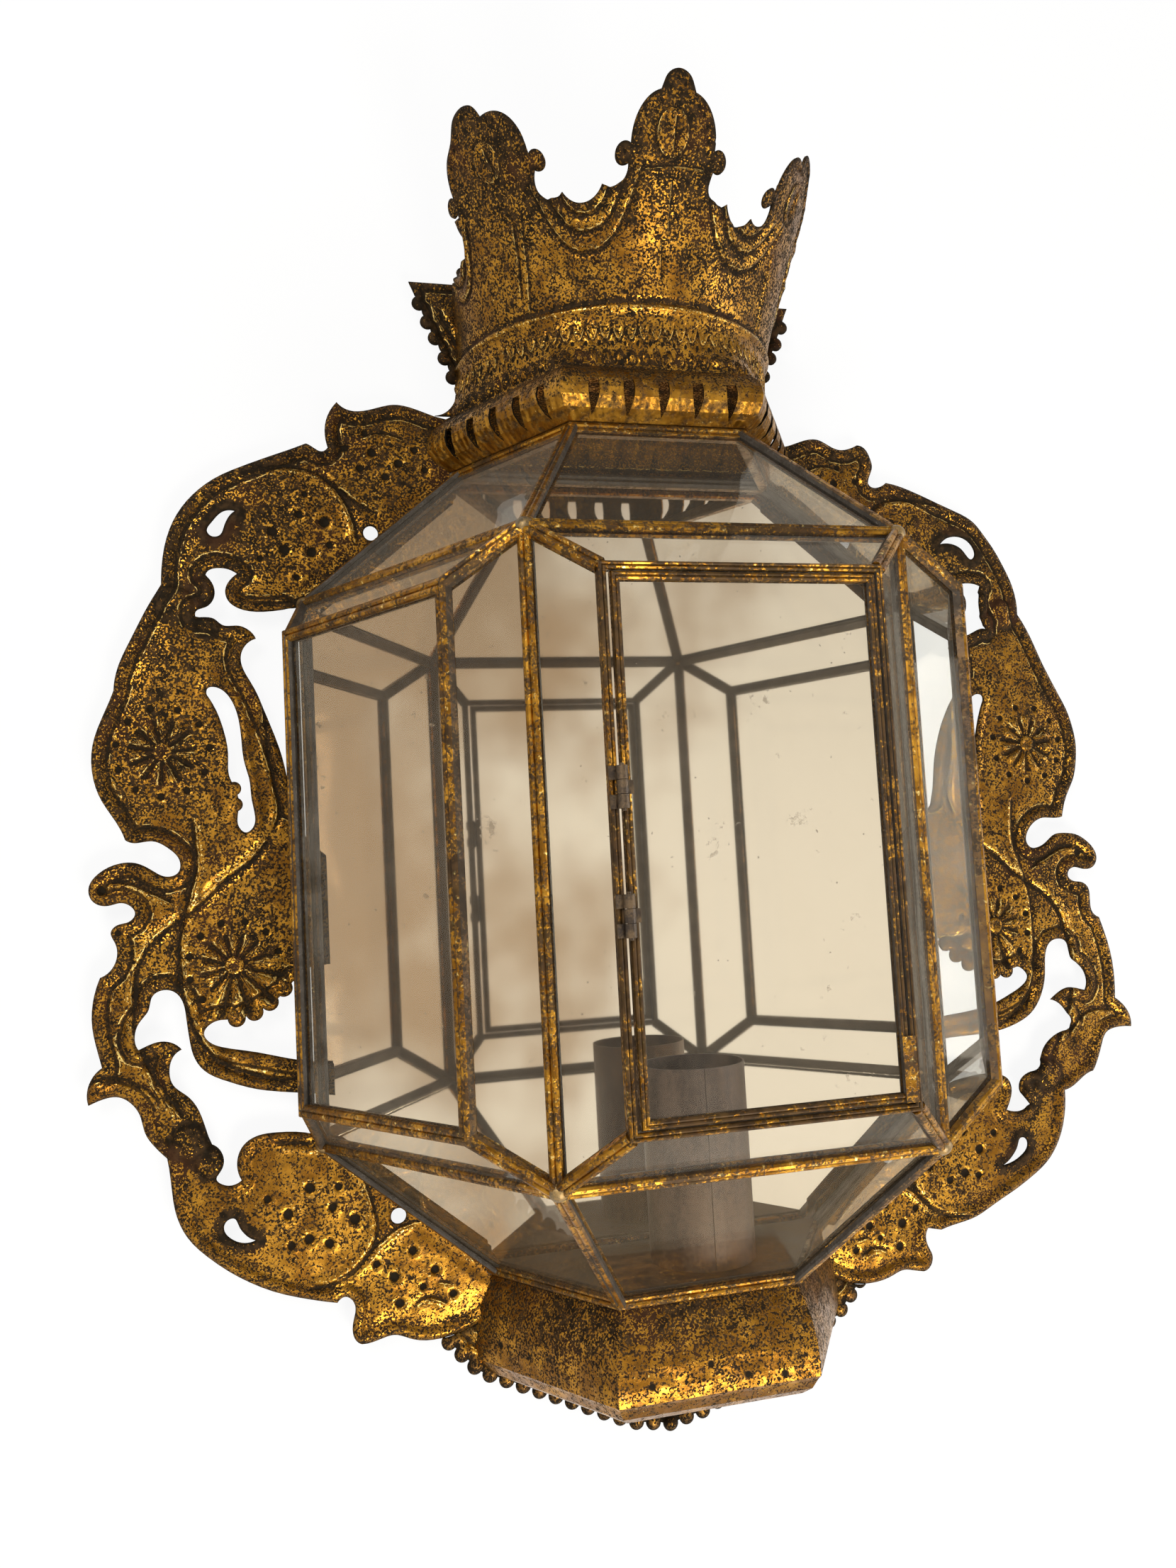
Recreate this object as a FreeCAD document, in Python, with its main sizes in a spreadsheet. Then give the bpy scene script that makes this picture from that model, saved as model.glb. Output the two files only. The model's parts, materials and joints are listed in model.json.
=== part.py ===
import FreeCAD, Part
import math
import os

# Gilt wall lantern: a half-hexagon glass lantern on a cut sheet-metal back plate, in millimetres.
# The origin is on the wall, at the middle of the lantern's height. The front faces -Y and +Z is up.

doc = FreeCAD.newDocument("wall_lantern")
sheet = doc.addObject("Spreadsheet::Sheet", "Sizes")

SIZES = [
    # back tray, mirror and sheet metal
    ("sheet_gauge", 1.0, "gauge of every gilt sheet"),
    ("tray_depth", 7.0, "front of the tray's rim, off the wall"),
    ("neck_width", 152.0, "tray behind the crown and the pan"),
    ("neck_top", 262.0, "upper end of the tray, above the middle"),
    ("neck_foot", 236.0, "lower end of the tray, below the middle"),
    ("mirror_thick", 2.2, "silvered glass"),
    ("mirror_clear", 0.5, "between the mirror's edge and the rim"),
    # lantern body, on the centre lines of its came bars
    ("back_width", 320.0, "between the back corners"),
    ("front_width", 160.0, "between the front corners"),
    ("body_depth", 134.5, "back corners to front corners"),
    ("body_height", 253.0, "lower eaves to upper eaves"),
    ("ring_width", 82.0, "front side of the top and bottom rings"),
    ("ring_depth", 68.0, "back to front of both rings"),
    ("roof_rise", 66.0, "eaves to top ring"),
    ("base_drop", 66.0, "lower eaves to bottom ring"),
    ("table_inset", 23.0, "face corner to raised panel, sideways"),
    ("table_drop", 21.5, "eaves to raised panel, in height"),
    ("table_proud", 23.0, "how far the panels stand out"),
    # came bars and glass
    ("bar_width", 6.0, "came bars, across"),
    ("bar_thick", 6.0, "came bars, front to back"),
    ("slim_bar", 3.5, "door and jamb bars, across"),
    ("door_thick", 4.6, "door bars, front to back"),
    ("glass_thick", 2.0, "panes"),
    ("glass_bite", 1.8, "depth of a pane in a came bar"),
    ("slim_bite", 0.9, "depth of a pane in a slim bar"),
    ("solder_radius", 4.0, "solder at the body's corners"),
    # door and its hinges
    ("hinge_gap", 1.5, "door to jamb on the hinge side"),
    ("door_gap", 0.5, "door to jamb on the other sides"),
    ("knuckle_radius", 2.2, "rolled hinge sheet, outside"),
    ("pin_radius", 0.9, "hinge pins"),
    ("running_clear", 0.05, "radial play of the door's knuckles on their pins"),
    ("pin_stick_out", 0.8, "pin ends beyond the knuckles"),
    ("knuckle_end_play", 0.2, "between neighbouring knuckles"),
    ("hinge_length", 16.0, "height of a hinge"),
    ("upper_hinge", 21.5, "middle of the upper hinge"),
    ("lower_hinge", -25.5, "middle of the lower hinge"),
    ("leaf_width", 4.6, "hinge axis to the edge of a leaf"),
    ("leaf_gauge", 0.8, "hinge leaves and catch strip"),
    ("seat_clear", 0.3, "between pieces that only lie close"),
    ("catch_length", 25.0, "catch strip, up the door's free side"),
    ("catch_lap", 1.6, "how far the catch strip laps over the jamb"),
    # vented collar, crown and its plate
    ("collar_rise", 25.0, "collar, above the top ring's bar"),
    ("collar_bulge", 12.5, "how far the collar swells past the ring"),
    ("collar_lip", 5.5, "how far its upper edge stands past the ring"),
    ("vent_width", 5.4, "almond vents, across"),
    ("vent_height", 15.0, "almond vents, in height"),
    ("vent_drop", 2.6, "vents' middle below the collar's"),
    ("vent_pitch", 16.5, "between the vents on a face"),
    ("crown_rise", 81.5, "crown plate to the level of the side balls"),
    ("crown_height", 120.0, "crown plate to the top section of the sheet"),
    ("crown_set", 1.2, "crown's foot inside the collar's upper edge"),
    ("crown_foot_half", 84.0, "crown's foot at the wall, sideways"),
    ("foot_rounding", 12.0, "radius of the foot's two front corners"),
    ("ring_rise", 26.0, "crown plate to the ring embossed round the crown"),
    ("crown_ring_half", 80.5, "crown at that ring, sideways"),
    ("crown_ring_deep", 81.0, "crown at that ring, forwards"),
    ("crown_mid_half", 89.5, "crown at the side balls, sideways"),
    ("crown_mid_deep", 116.0, "crown at the side balls, forwards"),
    ("crown_top_half", 100.0, "crown at the top section, sideways"),
    ("crown_top_deep", 130.0, "crown at the top section, forwards"),
    ("valley_height", 75.3, "crown plate to the centres of a valley's outer hollows, midway"),
    ("valley_skew", 1.6, "left valley above that height, and the right one below it"),
    ("valley_radius", 8.0, "outer hollows of a valley"),
    ("valley_step", 13.2, "middle of a valley to an outer hollow's centre"),
    ("valley_mid_radius", 10.5, "middle hollow of a valley"),
    ("valley_mid_drop", 1.3, "its centre below the outer hollows' centres"),
    ("valley_turn", 21.0, "degrees from the middle point to a valley"),
    ("point_half", 19.3, "half width of the middle point"),
    ("point_height", 84.0, "crown plate to the centre of the middle point's dome"),
    ("side_turn", 57.0, "degrees from the front to a side point's facing"),
    ("side_shift", 21.5, "side point's middle, forwards along the sheet from that facing"),
    ("side_half", 24.4, "half width of a side point"),
    ("side_height", 88.2, "crown plate to the side domes' centres, midway between the two"),
    ("side_skew", 3.0, "left side point above that height, and the right one below it"),
    ("side_lean", 4.9, "tip of a side point off its middle, towards the wall"),
    ("side_ball", 3.9, "radius of the balls beside a point"),
    ("side_ball_out", 2.4, "how far the balls' centres stand off a point"),
    ("front_ball_drop", 4.5, "balls below the middle dome's centre"),
    ("side_ball_drop", 8.0, "balls below a side dome's centre"),
    ("heel_height", 62.0, "crown plate to the edge behind a side point"),
    ("heel_radius", 9.0, "hollow between that edge and the side point"),
    ("heel_out", 39.0, "that hollow's centre, off the plate"),
    # bottom pan and floor
    ("pan_drop", 49.5, "bottom ring's bar to the pan's underside"),
    ("pan_bulge", 8.5, "how far the pan swells past the ring"),
    ("pan_heel", 15.0, "radius of the pan's rolled lower edge"),
    # candle sleeve
    ("sleeve_radius", 24.5, "tin sleeve, outside"),
    ("sleeve_wall", 0.8, "tin sleeve's wall"),
    ("sleeve_height", 88.0, "tin sleeve"),
    ("sleeve_x", 9.0, "sleeve's axis, sideways"),
    ("sleeve_out", 46.5, "sleeve's axis, off the wall"),
    ("seam_width", 5.0, "lapped seam of the sleeve"),
    ("disc_thick", 1.2, "disc under the sleeve"),
    # wings, shield and apron
    ("scroll_unit", 100.0, "length that one share of the scroll outlines stands for"),
    ("wing_root", 84.0, "inner edge of a wing above and below the lantern, off the middle"),
    ("wing_lap", 6.0, "wing sheet behind the came bars, from their centre lines"),
    ("screw_x", 127.0, "wall screw holes, off the middle"),
    ("screw_z", 163.5, "wall screw holes, above and below the middle"),
    ("screw_radius", 3.6, "wall screw holes"),
    ("shield_top", 293.5, "shield's upper edge, above the middle"),
    ("shield_flare", 103.0, "half width of the shield's upper edge"),
    ("shield_bead", 3.6, "beads on the shield's sides"),
    ("apron_tip", 277.0, "apron's tip, below the middle"),
    ("apron_bead", 3.7, "beads on the apron's edge"),
    ("apron_bead_pitch", 8.3, "between the apron's beads"),
    ("scallop_bead", 4.0, "beads on the lower rosette's edge"),
    ("slot_bead", 3.2, "beads in the long slot"),
    ("overrun", 30.0, "how far cutting shapes reach past what they cut"),
]

for row, (alias, value, meaning) in enumerate(SIZES, start=1):
    sheet.set(f"A{row}", meaning)
    sheet.set(f"B{row}", str(value))
    sheet.setAlias(f"B{row}", alias)
doc.recompute()


def size(alias):
    """A driving dimension from the sheet."""
    return float(sheet.get(alias))


def vec(x, y, z):
    return FreeCAD.Vector(x, y, z)


UP = vec(0, 0, 1)
ORIGIN = vec(0, 0, 0)
GAUGE = size("sheet_gauge")
OVERRUN = size("overrun")
BAR = size("bar_width")
BAR_THICK = size("bar_thick")
SLIM = size("slim_bar")
GLASS = size("glass_thick")

# levels and planes that several pieces share
PLATE_BACK = -size("tray_depth")
PLATE_FRONT = PLATE_BACK - GAUGE
BODY_BACK = PLATE_FRONT - BAR_THICK / 2
BODY_FRONT = BODY_BACK - size("body_depth")
EAVE = size("body_height") / 2
RING_UP = EAVE + size("roof_rise")
RING_DOWN = -EAVE - size("base_drop")
BACK_HALF = size("back_width") / 2
FRONT_HALF = size("front_width") / 2
RING_HALF = size("ring_width") / 2
SIDE_SLOPE = (BACK_HALF - FRONT_HALF) / size("body_depth")
RING_BACK_HALF = RING_HALF + size("ring_depth") * SIDE_SLOPE

NODES = []


def node(label, shape):
    """A finished piece whose shape comes from solids worked out here."""
    piece = doc.addObject("Part::Feature", label)
    piece.Label = label
    piece.Shape = shape
    NODES.append(piece)
    return piece


def keep(label, piece):
    """A finished piece that is a parametric object of the document."""
    piece.Label = label
    NODES.append(piece)
    return piece


def prism(points, push):
    """A solid over a flat polygon."""
    return Part.Face(Part.makePolygon(points + points[:1])).extrude(push)


def meets(one, other):
    return one.BoundBox.intersect(other.BoundBox)


def carve(solid, tools):
    """The solid less every tool that reaches it, with its largest piece kept."""
    near = [tool for tool in tools if meets(solid, tool)]
    if near:
        solid = solid.cut(near)
    return max(solid.Solids, key=lambda piece: piece.Volume)


# Points of the lantern body. Side -1 is the left as seen from the front, 1 the right.
def corner(side, front, level):
    half = FRONT_HALF if front else BACK_HALF
    return vec(side * half, BODY_FRONT if front else BODY_BACK, level)


def ring_corner(side, front, level):
    half = RING_HALF if front else RING_BACK_HALF
    depth = size("ring_depth") if front else 0
    return vec(side * half, BODY_BACK - depth, level)


def outline_at(points_at, level):
    """Left back, left front, right front and right back corner at a level."""
    return [points_at(-1, False, level), points_at(-1, True, level),
            points_at(1, True, level), points_at(1, False, level)]


EAVES_UP = outline_at(corner, EAVE)
EAVES_DOWN = outline_at(corner, -EAVE)
RING_TOP = outline_at(ring_corner, RING_UP)
RING_FOOT = outline_at(ring_corner, RING_DOWN)


# Raised panel of one face, from the face's two upper corners
def table_of(first, second):
    along = (second - first).normalize()
    out = along.cross(UP)
    inset = size("table_inset")
    drop = size("table_drop")
    low = UP * (drop - size("body_height"))
    start = first + along * inset + out * size("table_proud")
    end = second - along * inset + out * size("table_proud")
    corners = [start - UP * drop, end - UP * drop, end + low, start + low]
    return corners, out


FACES = {
    "left": (EAVES_UP[0], EAVES_UP[1]),
    "front": (EAVES_UP[1], EAVES_UP[2]),
    "right": (EAVES_UP[2], EAVES_UP[3]),
}
TABLES = {name: table_of(*pair) for name, pair in FACES.items()}

# Section of a came bar, as shares of its width and thickness: a flat back and a front with two
# rounded beads and a groove between them.
BAR_SHARES = [(-0.36, -0.5), (-0.5, -0.36), (-0.5, 0.26), (-0.4, 0.42), (-0.22, 0.5), (-0.07, 0.45),
              (0, 0.36), (0.07, 0.45), (0.22, 0.5), (0.4, 0.42), (0.5, 0.26), (0.5, -0.36), (0.36, -0.5)]


def came(start, end, out, width, thick, reach=0):
    """A bar between two points, with its beaded side towards out."""
    along = (end - start).normalize()
    out = (out - along * out.dot(along)).normalize()
    across = along.cross(out)
    begin = start - along * reach
    ring = [begin + across * (s * width) + out * (n * thick) for s, n in BAR_SHARES]
    return prism(ring, end + along * reach - begin)


def mitred(corners, outs, normal, width, thick, closed=True):
    """Bars round a flat outline, each cut on the bisecting planes of its two corners."""
    count = len(corners)
    bars = []
    reach = 2 * width

    def cut_line(i):
        """Direction of the mitre at a corner, pointing away from the outline's inside."""
        if not closed and i in (0, count - 1):
            return None
        back = (corners[i] - corners[i - 1]).normalize()
        ahead = (corners[i] - corners[(i + 1) % count]).normalize()
        return (back + ahead).normalize()

    for i in range(count if closed else count - 1):
        j = (i + 1) % count
        along = (corners[j] - corners[i]).normalize()
        first = cut_line(i)
        last = cut_line(j)
        start = corners[i] - along * reach if first else corners[i]
        end = corners[j] + along * reach if last else corners[j]
        bar = came(start, end, outs[i], width, thick)
        side = along.cross(normal)
        square = side if side.dot(outs[i]) > 0 else side * -1
        span = 4 * reach
        first = first or square
        last = last or square
        lean_first = first * (span / abs(first.dot(side)))
        lean_last = last * (span / abs(last.dot(side)))
        share = min(1, (corners[j] - corners[i]).Length / (3 * span))
        wedge = [corners[i] + lean_first, corners[j] + lean_last,
                 corners[j] - lean_last * share, corners[i] - lean_first * share]
        wedge = [point - normal * span for point in wedge]
        bars.append(bar.common(prism(wedge, normal * (2 * span))))
    shape = bars[0].multiFuse(bars[1:]) if len(bars) > 1 else bars[0]
    return shape.removeSplitter()


def pane(corners, insets):
    """A flat pane inside a polygon, each edge drawn in from its side by its own inset."""
    count = len(corners)
    normal = (corners[1] - corners[0]).cross(corners[2] - corners[1]).normalize()
    lines = []
    for i in range(count):
        along = (corners[(i + 1) % count] - corners[i]).normalize()
        inward = normal.cross(along)
        lines.append((corners[i] + inward * insets[i], along))
    points = []
    for i in range(count):
        base, along = lines[i - 1]
        other, direction = lines[i]
        inward = normal.cross(direction)
        travel = (other - base).dot(inward) / along.dot(inward)
        points.append(base + along * travel)
    lifted = [point - normal * (GLASS / 2) for point in points]
    return prism(lifted, normal * GLASS)


# Glass
bar_inset = BAR / 2 - size("glass_bite")
slim_inset = SLIM / 2 - size("slim_bite")
panes = {}


def band_pane(lower, upper, index):
    """Pane between two outlines, on one of their three sides."""
    loop = [lower[index], lower[index + 1], upper[index + 1], upper[index]]
    return pane(loop, [bar_inset] * len(loop))


for index, face in enumerate(("left", "front", "right")):
    panes["roof_pane_" + face] = band_pane(EAVES_UP, RING_TOP, index)
    panes["base_pane_" + face] = band_pane(RING_FOOT, EAVES_DOWN, index)

for face, (first, second) in FACES.items():
    table, out = TABLES[face]
    fall = UP * size("body_height")
    rim = [first, second, second - fall, first - fall]
    table_inset = slim_inset if face == "front" else bar_inset
    strips = []
    for i in range(len(rim)):
        j = (i + 1) % len(rim)
        loop = [rim[i], rim[j], table[j], table[i]]
        strips.append(pane(loop, [bar_inset, bar_inset, table_inset, bar_inset]))
    panes["bevel_panes_" + face] = Part.makeCompound(strips)
    if face != "front":
        panes["table_pane_" + face] = pane(table, [bar_inset] * len(table))

for label, shape in panes.items():
    node(label, shape)
glass = [solid for shape in panes.values() for solid in shape.Solids]

# Solder at the eight corners of the body, flattened where it lies on the back plate
behind = Part.makeBox(2 * size("back_width"), OVERRUN, 2 * size("shield_top"))
behind.translate(vec(-size("back_width"), PLATE_FRONT, -size("shield_top")))
joints = []
for point in EAVES_UP + EAVES_DOWN:
    ball = Part.makeSphere(size("solder_radius"), point)
    joints.append(carve(ball, glass + [behind]))
node("solder_joints", Part.makeCompound(joints))

laid = list(joints)


def lay(label, bars):
    """A node of came bars, let in round the glass and against the bars laid before."""
    cut = [carve(bar, glass + laid) for bar in bars]
    laid.extend(cut)
    return node(label, Part.makeCompound(cut) if len(cut) > 1 else cut[0])


def lean(flat, rise):
    """A direction between a level one and straight up or down."""
    return (flat + UP * rise).normalize()


FRONT = vec(0, -1, 0)
side_outs = [TABLES["left"][1], FRONT, TABLES["right"][1]]
ring_outs = side_outs + [FRONT]

up_outs = [lean(out, 1) for out in side_outs]
down_outs = [lean(out, -1) for out in side_outs]
lay("eaves", [mitred(EAVES_UP, up_outs, UP, BAR, BAR_THICK, closed=False)])
lay("base_eaves", [mitred(EAVES_DOWN, down_outs, UP, BAR, BAR_THICK, closed=False)])
lay("top_ring", [mitred(RING_TOP, ring_outs, UP, BAR, BAR_THICK)])
lay("bottom_ring", [mitred(RING_FOOT, ring_outs, UP, BAR, BAR_THICK)])

corner_outs = [FRONT, (side_outs[0] + FRONT).normalize(), (side_outs[2] + FRONT).normalize(), FRONT]
lay("corner_posts", [came(EAVES_DOWN[i], EAVES_UP[i], corner_outs[i], BAR, BAR_THICK) for i in range(4)])
hip_outs = {rise: [out if out == FRONT else lean(out, rise) for out in corner_outs] for rise in (1, -1)}
lay("roof_hips", [came(EAVES_UP[i], RING_TOP[i], hip_outs[1][i], BAR, BAR_THICK) for i in range(4)])
lay("base_hips", [came(EAVES_DOWN[i], RING_FOOT[i], hip_outs[-1][i], BAR, BAR_THICK) for i in range(4)])

# Raised panels: the front one's frame is the door's jamb
for face in ("left", "right"):
    table, out = TABLES[face]
    lay(face + "_table_frame", [mitred(table, [out] * 4, out, BAR, BAR_THICK)])
front_table, front_out = TABLES["front"]
lay("door_jamb", [mitred(front_table, [front_out] * 4, front_out, SLIM, BAR_THICK)])

for face, (first, second) in FACES.items():
    table, out = TABLES[face]
    along = (second - first).normalize()
    fall = UP * size("body_height")
    rim = [first, second, second - fall, first - fall]
    leans = [(UP - along), (UP + along), (along - UP), (UP * -1 - along)]
    bars = [came(rim[i], table[i], out + leans[i].normalize(), BAR, BAR_THICK) for i in range(4)]
    lay(face + "_bevel_bars", bars)

# Door: four slim bars round its own pane, hung inside the jamb
TABLE_FRONT = BODY_FRONT - size("table_proud")
JAMB_FACE = TABLE_FRONT - BAR_THICK / 2
jamb_half = FRONT_HALF - size("table_inset") - SLIM / 2
jamb_height = EAVE - size("table_drop") - SLIM / 2
door_left = -jamb_half + size("hinge_gap") + SLIM / 2
door_right = jamb_half - size("door_gap") - SLIM / 2
door_top = jamb_height - size("door_gap") - SLIM / 2
door_middle = JAMB_FACE + size("door_thick") / 2
door_corners = [vec(door_left, door_middle, door_top), vec(door_right, door_middle, door_top),
                vec(door_right, door_middle, -door_top), vec(door_left, door_middle, -door_top)]
door_glass = pane(door_corners, [slim_inset] * 4)
door_bars = mitred(door_corners, [FRONT] * 4, FRONT, SLIM, size("door_thick"))
node("door_pane", door_glass)
node("door_frame", door_bars.cut(door_glass))

# Hinges: rolled sheet with a pin, a fixed knuckle above and below the door's own
hinge_x = -jamb_half + size("hinge_gap") / 2
hinge_y = JAMB_FACE - size("knuckle_radius")
knuckle_height = size("hinge_length") / 3 - size("knuckle_end_play")


def cylinder(name, radius, height, place):
    """A parametric cylinder whose radius and height are sheet expressions."""
    tube = doc.addObject("Part::Cylinder", name)
    tube.setExpression("Radius", radius)
    tube.setExpression("Height", height)
    tube.Placement.Base = place
    return tube


def block(name, length, width, height, place):
    """A parametric block whose sizes are sheet expressions."""
    box = doc.addObject("Part::Box", name)
    box.setExpression("Length", length)
    box.setExpression("Width", width)
    box.setExpression("Height", height)
    box.Placement.Base = place
    return box


def fused(name, shapes):
    joined = doc.addObject("Part::MultiFuse", name)
    joined.Shapes = shapes
    return joined


def bored(name, base, tool):
    cut = doc.addObject("Part::Cut", name)
    cut.Base = base
    cut.Tool = tool
    return cut


def compound(name, links):
    group = doc.addObject("Part::Compound", name)
    group.Links = links
    return group


KNUCKLE = "(Sizes.hinge_length / 3 - Sizes.knuckle_end_play)"


def knuckle(name, side, level, bore):
    """A rolled barrel with its leaf, which lies on the bars to one side of the axis."""
    foot = level - knuckle_height / 2
    barrel = cylinder(name + "_barrel", "Sizes.knuckle_radius", KNUCKLE, vec(hinge_x, hinge_y, foot))
    leaf_x = hinge_x if side > 0 else hinge_x - size("leaf_width")
    leaf = block(name + "_leaf", "Sizes.leaf_width", "Sizes.leaf_gauge", KNUCKLE,
                 vec(leaf_x, JAMB_FACE - size("leaf_gauge"), foot))
    hole = cylinder(name + "_hole", bore, KNUCKLE, vec(hinge_x, hinge_y, foot))
    return bored(name, fused(name + "_sheet", [barrel, leaf]), hole)


fixed_knuckles = []
door_knuckles = []
pins = []
third = size("hinge_length") / 3
for name, level in (("upper", size("upper_hinge")), ("lower", size("lower_hinge"))):
    for place, step in (("over", 1), ("under", -1)):
        fixed_knuckles.append(knuckle(f"{name}_{place}", -1, level + step * third, "Sizes.pin_radius"))
    door_knuckles.append(knuckle(f"{name}_door", 1, level, "Sizes.pin_radius + Sizes.running_clear"))
    pin_foot = level - size("hinge_length") / 2 - size("pin_stick_out")
    pins.append(cylinder(name + "_pin", "Sizes.pin_radius", "Sizes.hinge_length + 2 * Sizes.pin_stick_out",
                         vec(hinge_x, hinge_y, pin_foot)))
keep("jamb_knuckles", compound("jamb_knuckles", fixed_knuckles))
keep("door_knuckles", compound("door_knuckles", door_knuckles))
keep("hinge_pins", compound("hinge_pins", pins))

# Catch strip: soldered on the door, it laps over the jamb as the door's stop
catch_left = door_right - SLIM / 2
catch_reach = door_right + SLIM / 2 + size("door_gap") + size("catch_lap") - catch_left
catch_foot = -door_top - SLIM / 2
strip = Part.makeBox(catch_reach, size("leaf_gauge"), size("catch_length"),
                     vec(catch_left, JAMB_FACE - size("leaf_gauge"), catch_foot))
rebate = Part.makeBox(catch_reach, size("seat_clear"), size("catch_length"),
                      vec(door_right + SLIM / 2, JAMB_FACE - size("seat_clear"), catch_foot))
node("catch_strip", strip.cut(rebate))

# Back tray: a flat sheet with a rim folded forwards round it, the lantern's outline with two necks
neck_half = size("neck_width") / 2


def symmetric(right_side):
    """A closed outline on the wall from its right half, listed from the top down."""
    left_side = [(-x, z) for x, z in reversed(right_side)]
    return [vec(x, 0, z) for x, z in right_side + left_side]


def wall_face(points):
    return Part.Face(Part.makePolygon(points + points[:1]))


tray_right = [(neck_half, size("neck_top")), (neck_half, RING_UP), (RING_BACK_HALF, RING_UP),
              (BACK_HALF, EAVE), (BACK_HALF, -EAVE), (RING_BACK_HALF, RING_DOWN),
              (neck_half, RING_DOWN), (neck_half, -size("neck_foot"))]
tray_face = wall_face(symmetric(tray_right))
tray_solid = tray_face.extrude(FRONT * size("tray_depth"))
tray_room = tray_face.makeOffset2D(-GAUGE)
tray_room.translate(FRONT * GAUGE)
node("back_tray", tray_solid.cut(tray_room.extrude(FRONT * size("tray_depth"))))

lantern_right = [(RING_BACK_HALF, RING_UP), (BACK_HALF, EAVE), (BACK_HALF, -EAVE), (RING_BACK_HALF, RING_DOWN)]
lantern_back = wall_face(symmetric(lantern_right))
mirror_face = lantern_back.makeOffset2D(-GAUGE - size("mirror_clear"))
mirror_face.translate(FRONT * GAUGE)
node("mirror", mirror_face.extrude(FRONT * size("mirror_thick")))

# Wings. Both were cut by hand, so the right one hangs lower and reaches further than the left one.
# Each outline is a chain of strokes: two points make a straight run, more make one smooth curve, and
# strokes meet in corners. The first number of a pair is a share measured outwards from the lantern's
# back corner, the second a share measured up from the lantern's middle.
# Outer edge, from the shield round to the apron
LEFT_EDGE_SHARES = [
    [(-0.76, 2.22), (-0.67, 2.24)],
    [(-0.6, 2.265), (-0.47, 2.29), (-0.35, 2.26), (-0.26, 2.25), (-0.19, 2.29)],
    [(-0.14, 2.21), (-0.14, 2.06)],
    [(-0.1, 2.04), (-0.065, 2.06), (-0.035, 2.075)],
    [(0.1, 2.02), (0.25, 1.96), (0.4, 1.885), (0.52, 1.78), (0.6, 1.65), (0.64, 1.5), (0.65, 1.37)],
    [(0.72, 1.25), (0.79, 1.11), (0.845, 0.99), (0.87, 0.87)],
    [(0.92, 0.75), (0.965, 0.62), (0.97, 0.5), (0.935, 0.37), (0.87, 0.26), (0.835, 0.18)],
    [(0.8, 0.165), (0.72, 0.17), (0.65, 0.135), (0.6, 0.07), (0.61, 0.02), (0.66, 0.005), (0.72, 0.035),
     (0.79, 0.073), (0.87, 0.073), (0.95, 0.035), (0.995, -0.03), (0.98, -0.09), (0.92, -0.115),
     (0.86, -0.105), (0.815, -0.125), (0.8, -0.155), (0.825, -0.19), (0.88, -0.205), (0.905, -0.235),
     (0.89, -0.28), (0.88, -0.33), (0.895, -0.385), (0.955, -0.435)],
    [(0.985, -0.53), (0.993, -0.64), (0.975, -0.75), (0.955, -0.835)],
    [(1.0, -0.88), (1.02, -0.94), (1.015, -0.995)],
    [(0.96, -0.975), (0.89, -0.97), (0.83, -1.01), (0.8, -1.06), (0.78, -1.14), (0.74, -1.205),
     (0.69, -1.26)],
    [(0.675, -1.38), (0.66, -1.5), (0.61, -1.62), (0.52, -1.72), (0.4, -1.815), (0.25, -1.9),
     (0.1, -1.955), (-0.035, -1.99)],
    [(-0.07, -1.968), (-0.105, -1.99)],
    [(-0.115, -2.045), (-0.1, -2.11), (-0.11, -2.165), (-0.14, -2.19)],
    [(-0.2, -2.185), (-0.29, -2.17), (-0.37, -2.2), (-0.46, -2.217), (-0.55, -2.21), (-0.63, -2.19)],
    [(-0.76, -2.14)],
]
# Bays against the lantern's side, from the top down
LEFT_UPPER_BAY_SHARES = [
    [(-0.08, 1.28), (0.02, 1.266)],
    [(0.12, 1.25), (0.22, 1.243), (0.3, 1.258), (0.35, 1.295), (0.363, 1.34), (0.343, 1.39),
     (0.305, 1.425)],
    [(0.34, 1.446), (0.39, 1.454), (0.435, 1.442), (0.45, 1.42)],
    [(0.425, 1.385), (0.41, 1.34), (0.42, 1.295), (0.46, 1.263), (0.495, 1.248), (0.5, 1.218)],
    [(0.46, 1.213), (0.415, 1.205), (0.38, 1.178), (0.31, 1.175), (0.26, 1.153), (0.23, 1.113)],
    [(0.275, 1.085), (0.3, 1.035), (0.295, 0.975), (0.255, 0.895), (0.21, 0.79), (0.17, 0.68),
     (0.13, 0.555), (0.105, 0.43), (0.08, 0.3), (0.02, 0.14)],
    [(-0.08, 0.05)],
]
LEFT_MIDDLE_BAY_SHARES = [
    [(-0.08, -0.44), (0.06, -0.455)],
    [(0.12, -0.52), (0.19, -0.59), (0.28, -0.64), (0.37, -0.665), (0.45, -0.665), (0.505, -0.695)],
    [(0.515, -0.725), (0.485, -0.765), (0.43, -0.79), (0.3, -0.82), (0.16, -0.86), (0.06, -0.883)],
    [(-0.08, -0.91)],
]
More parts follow.
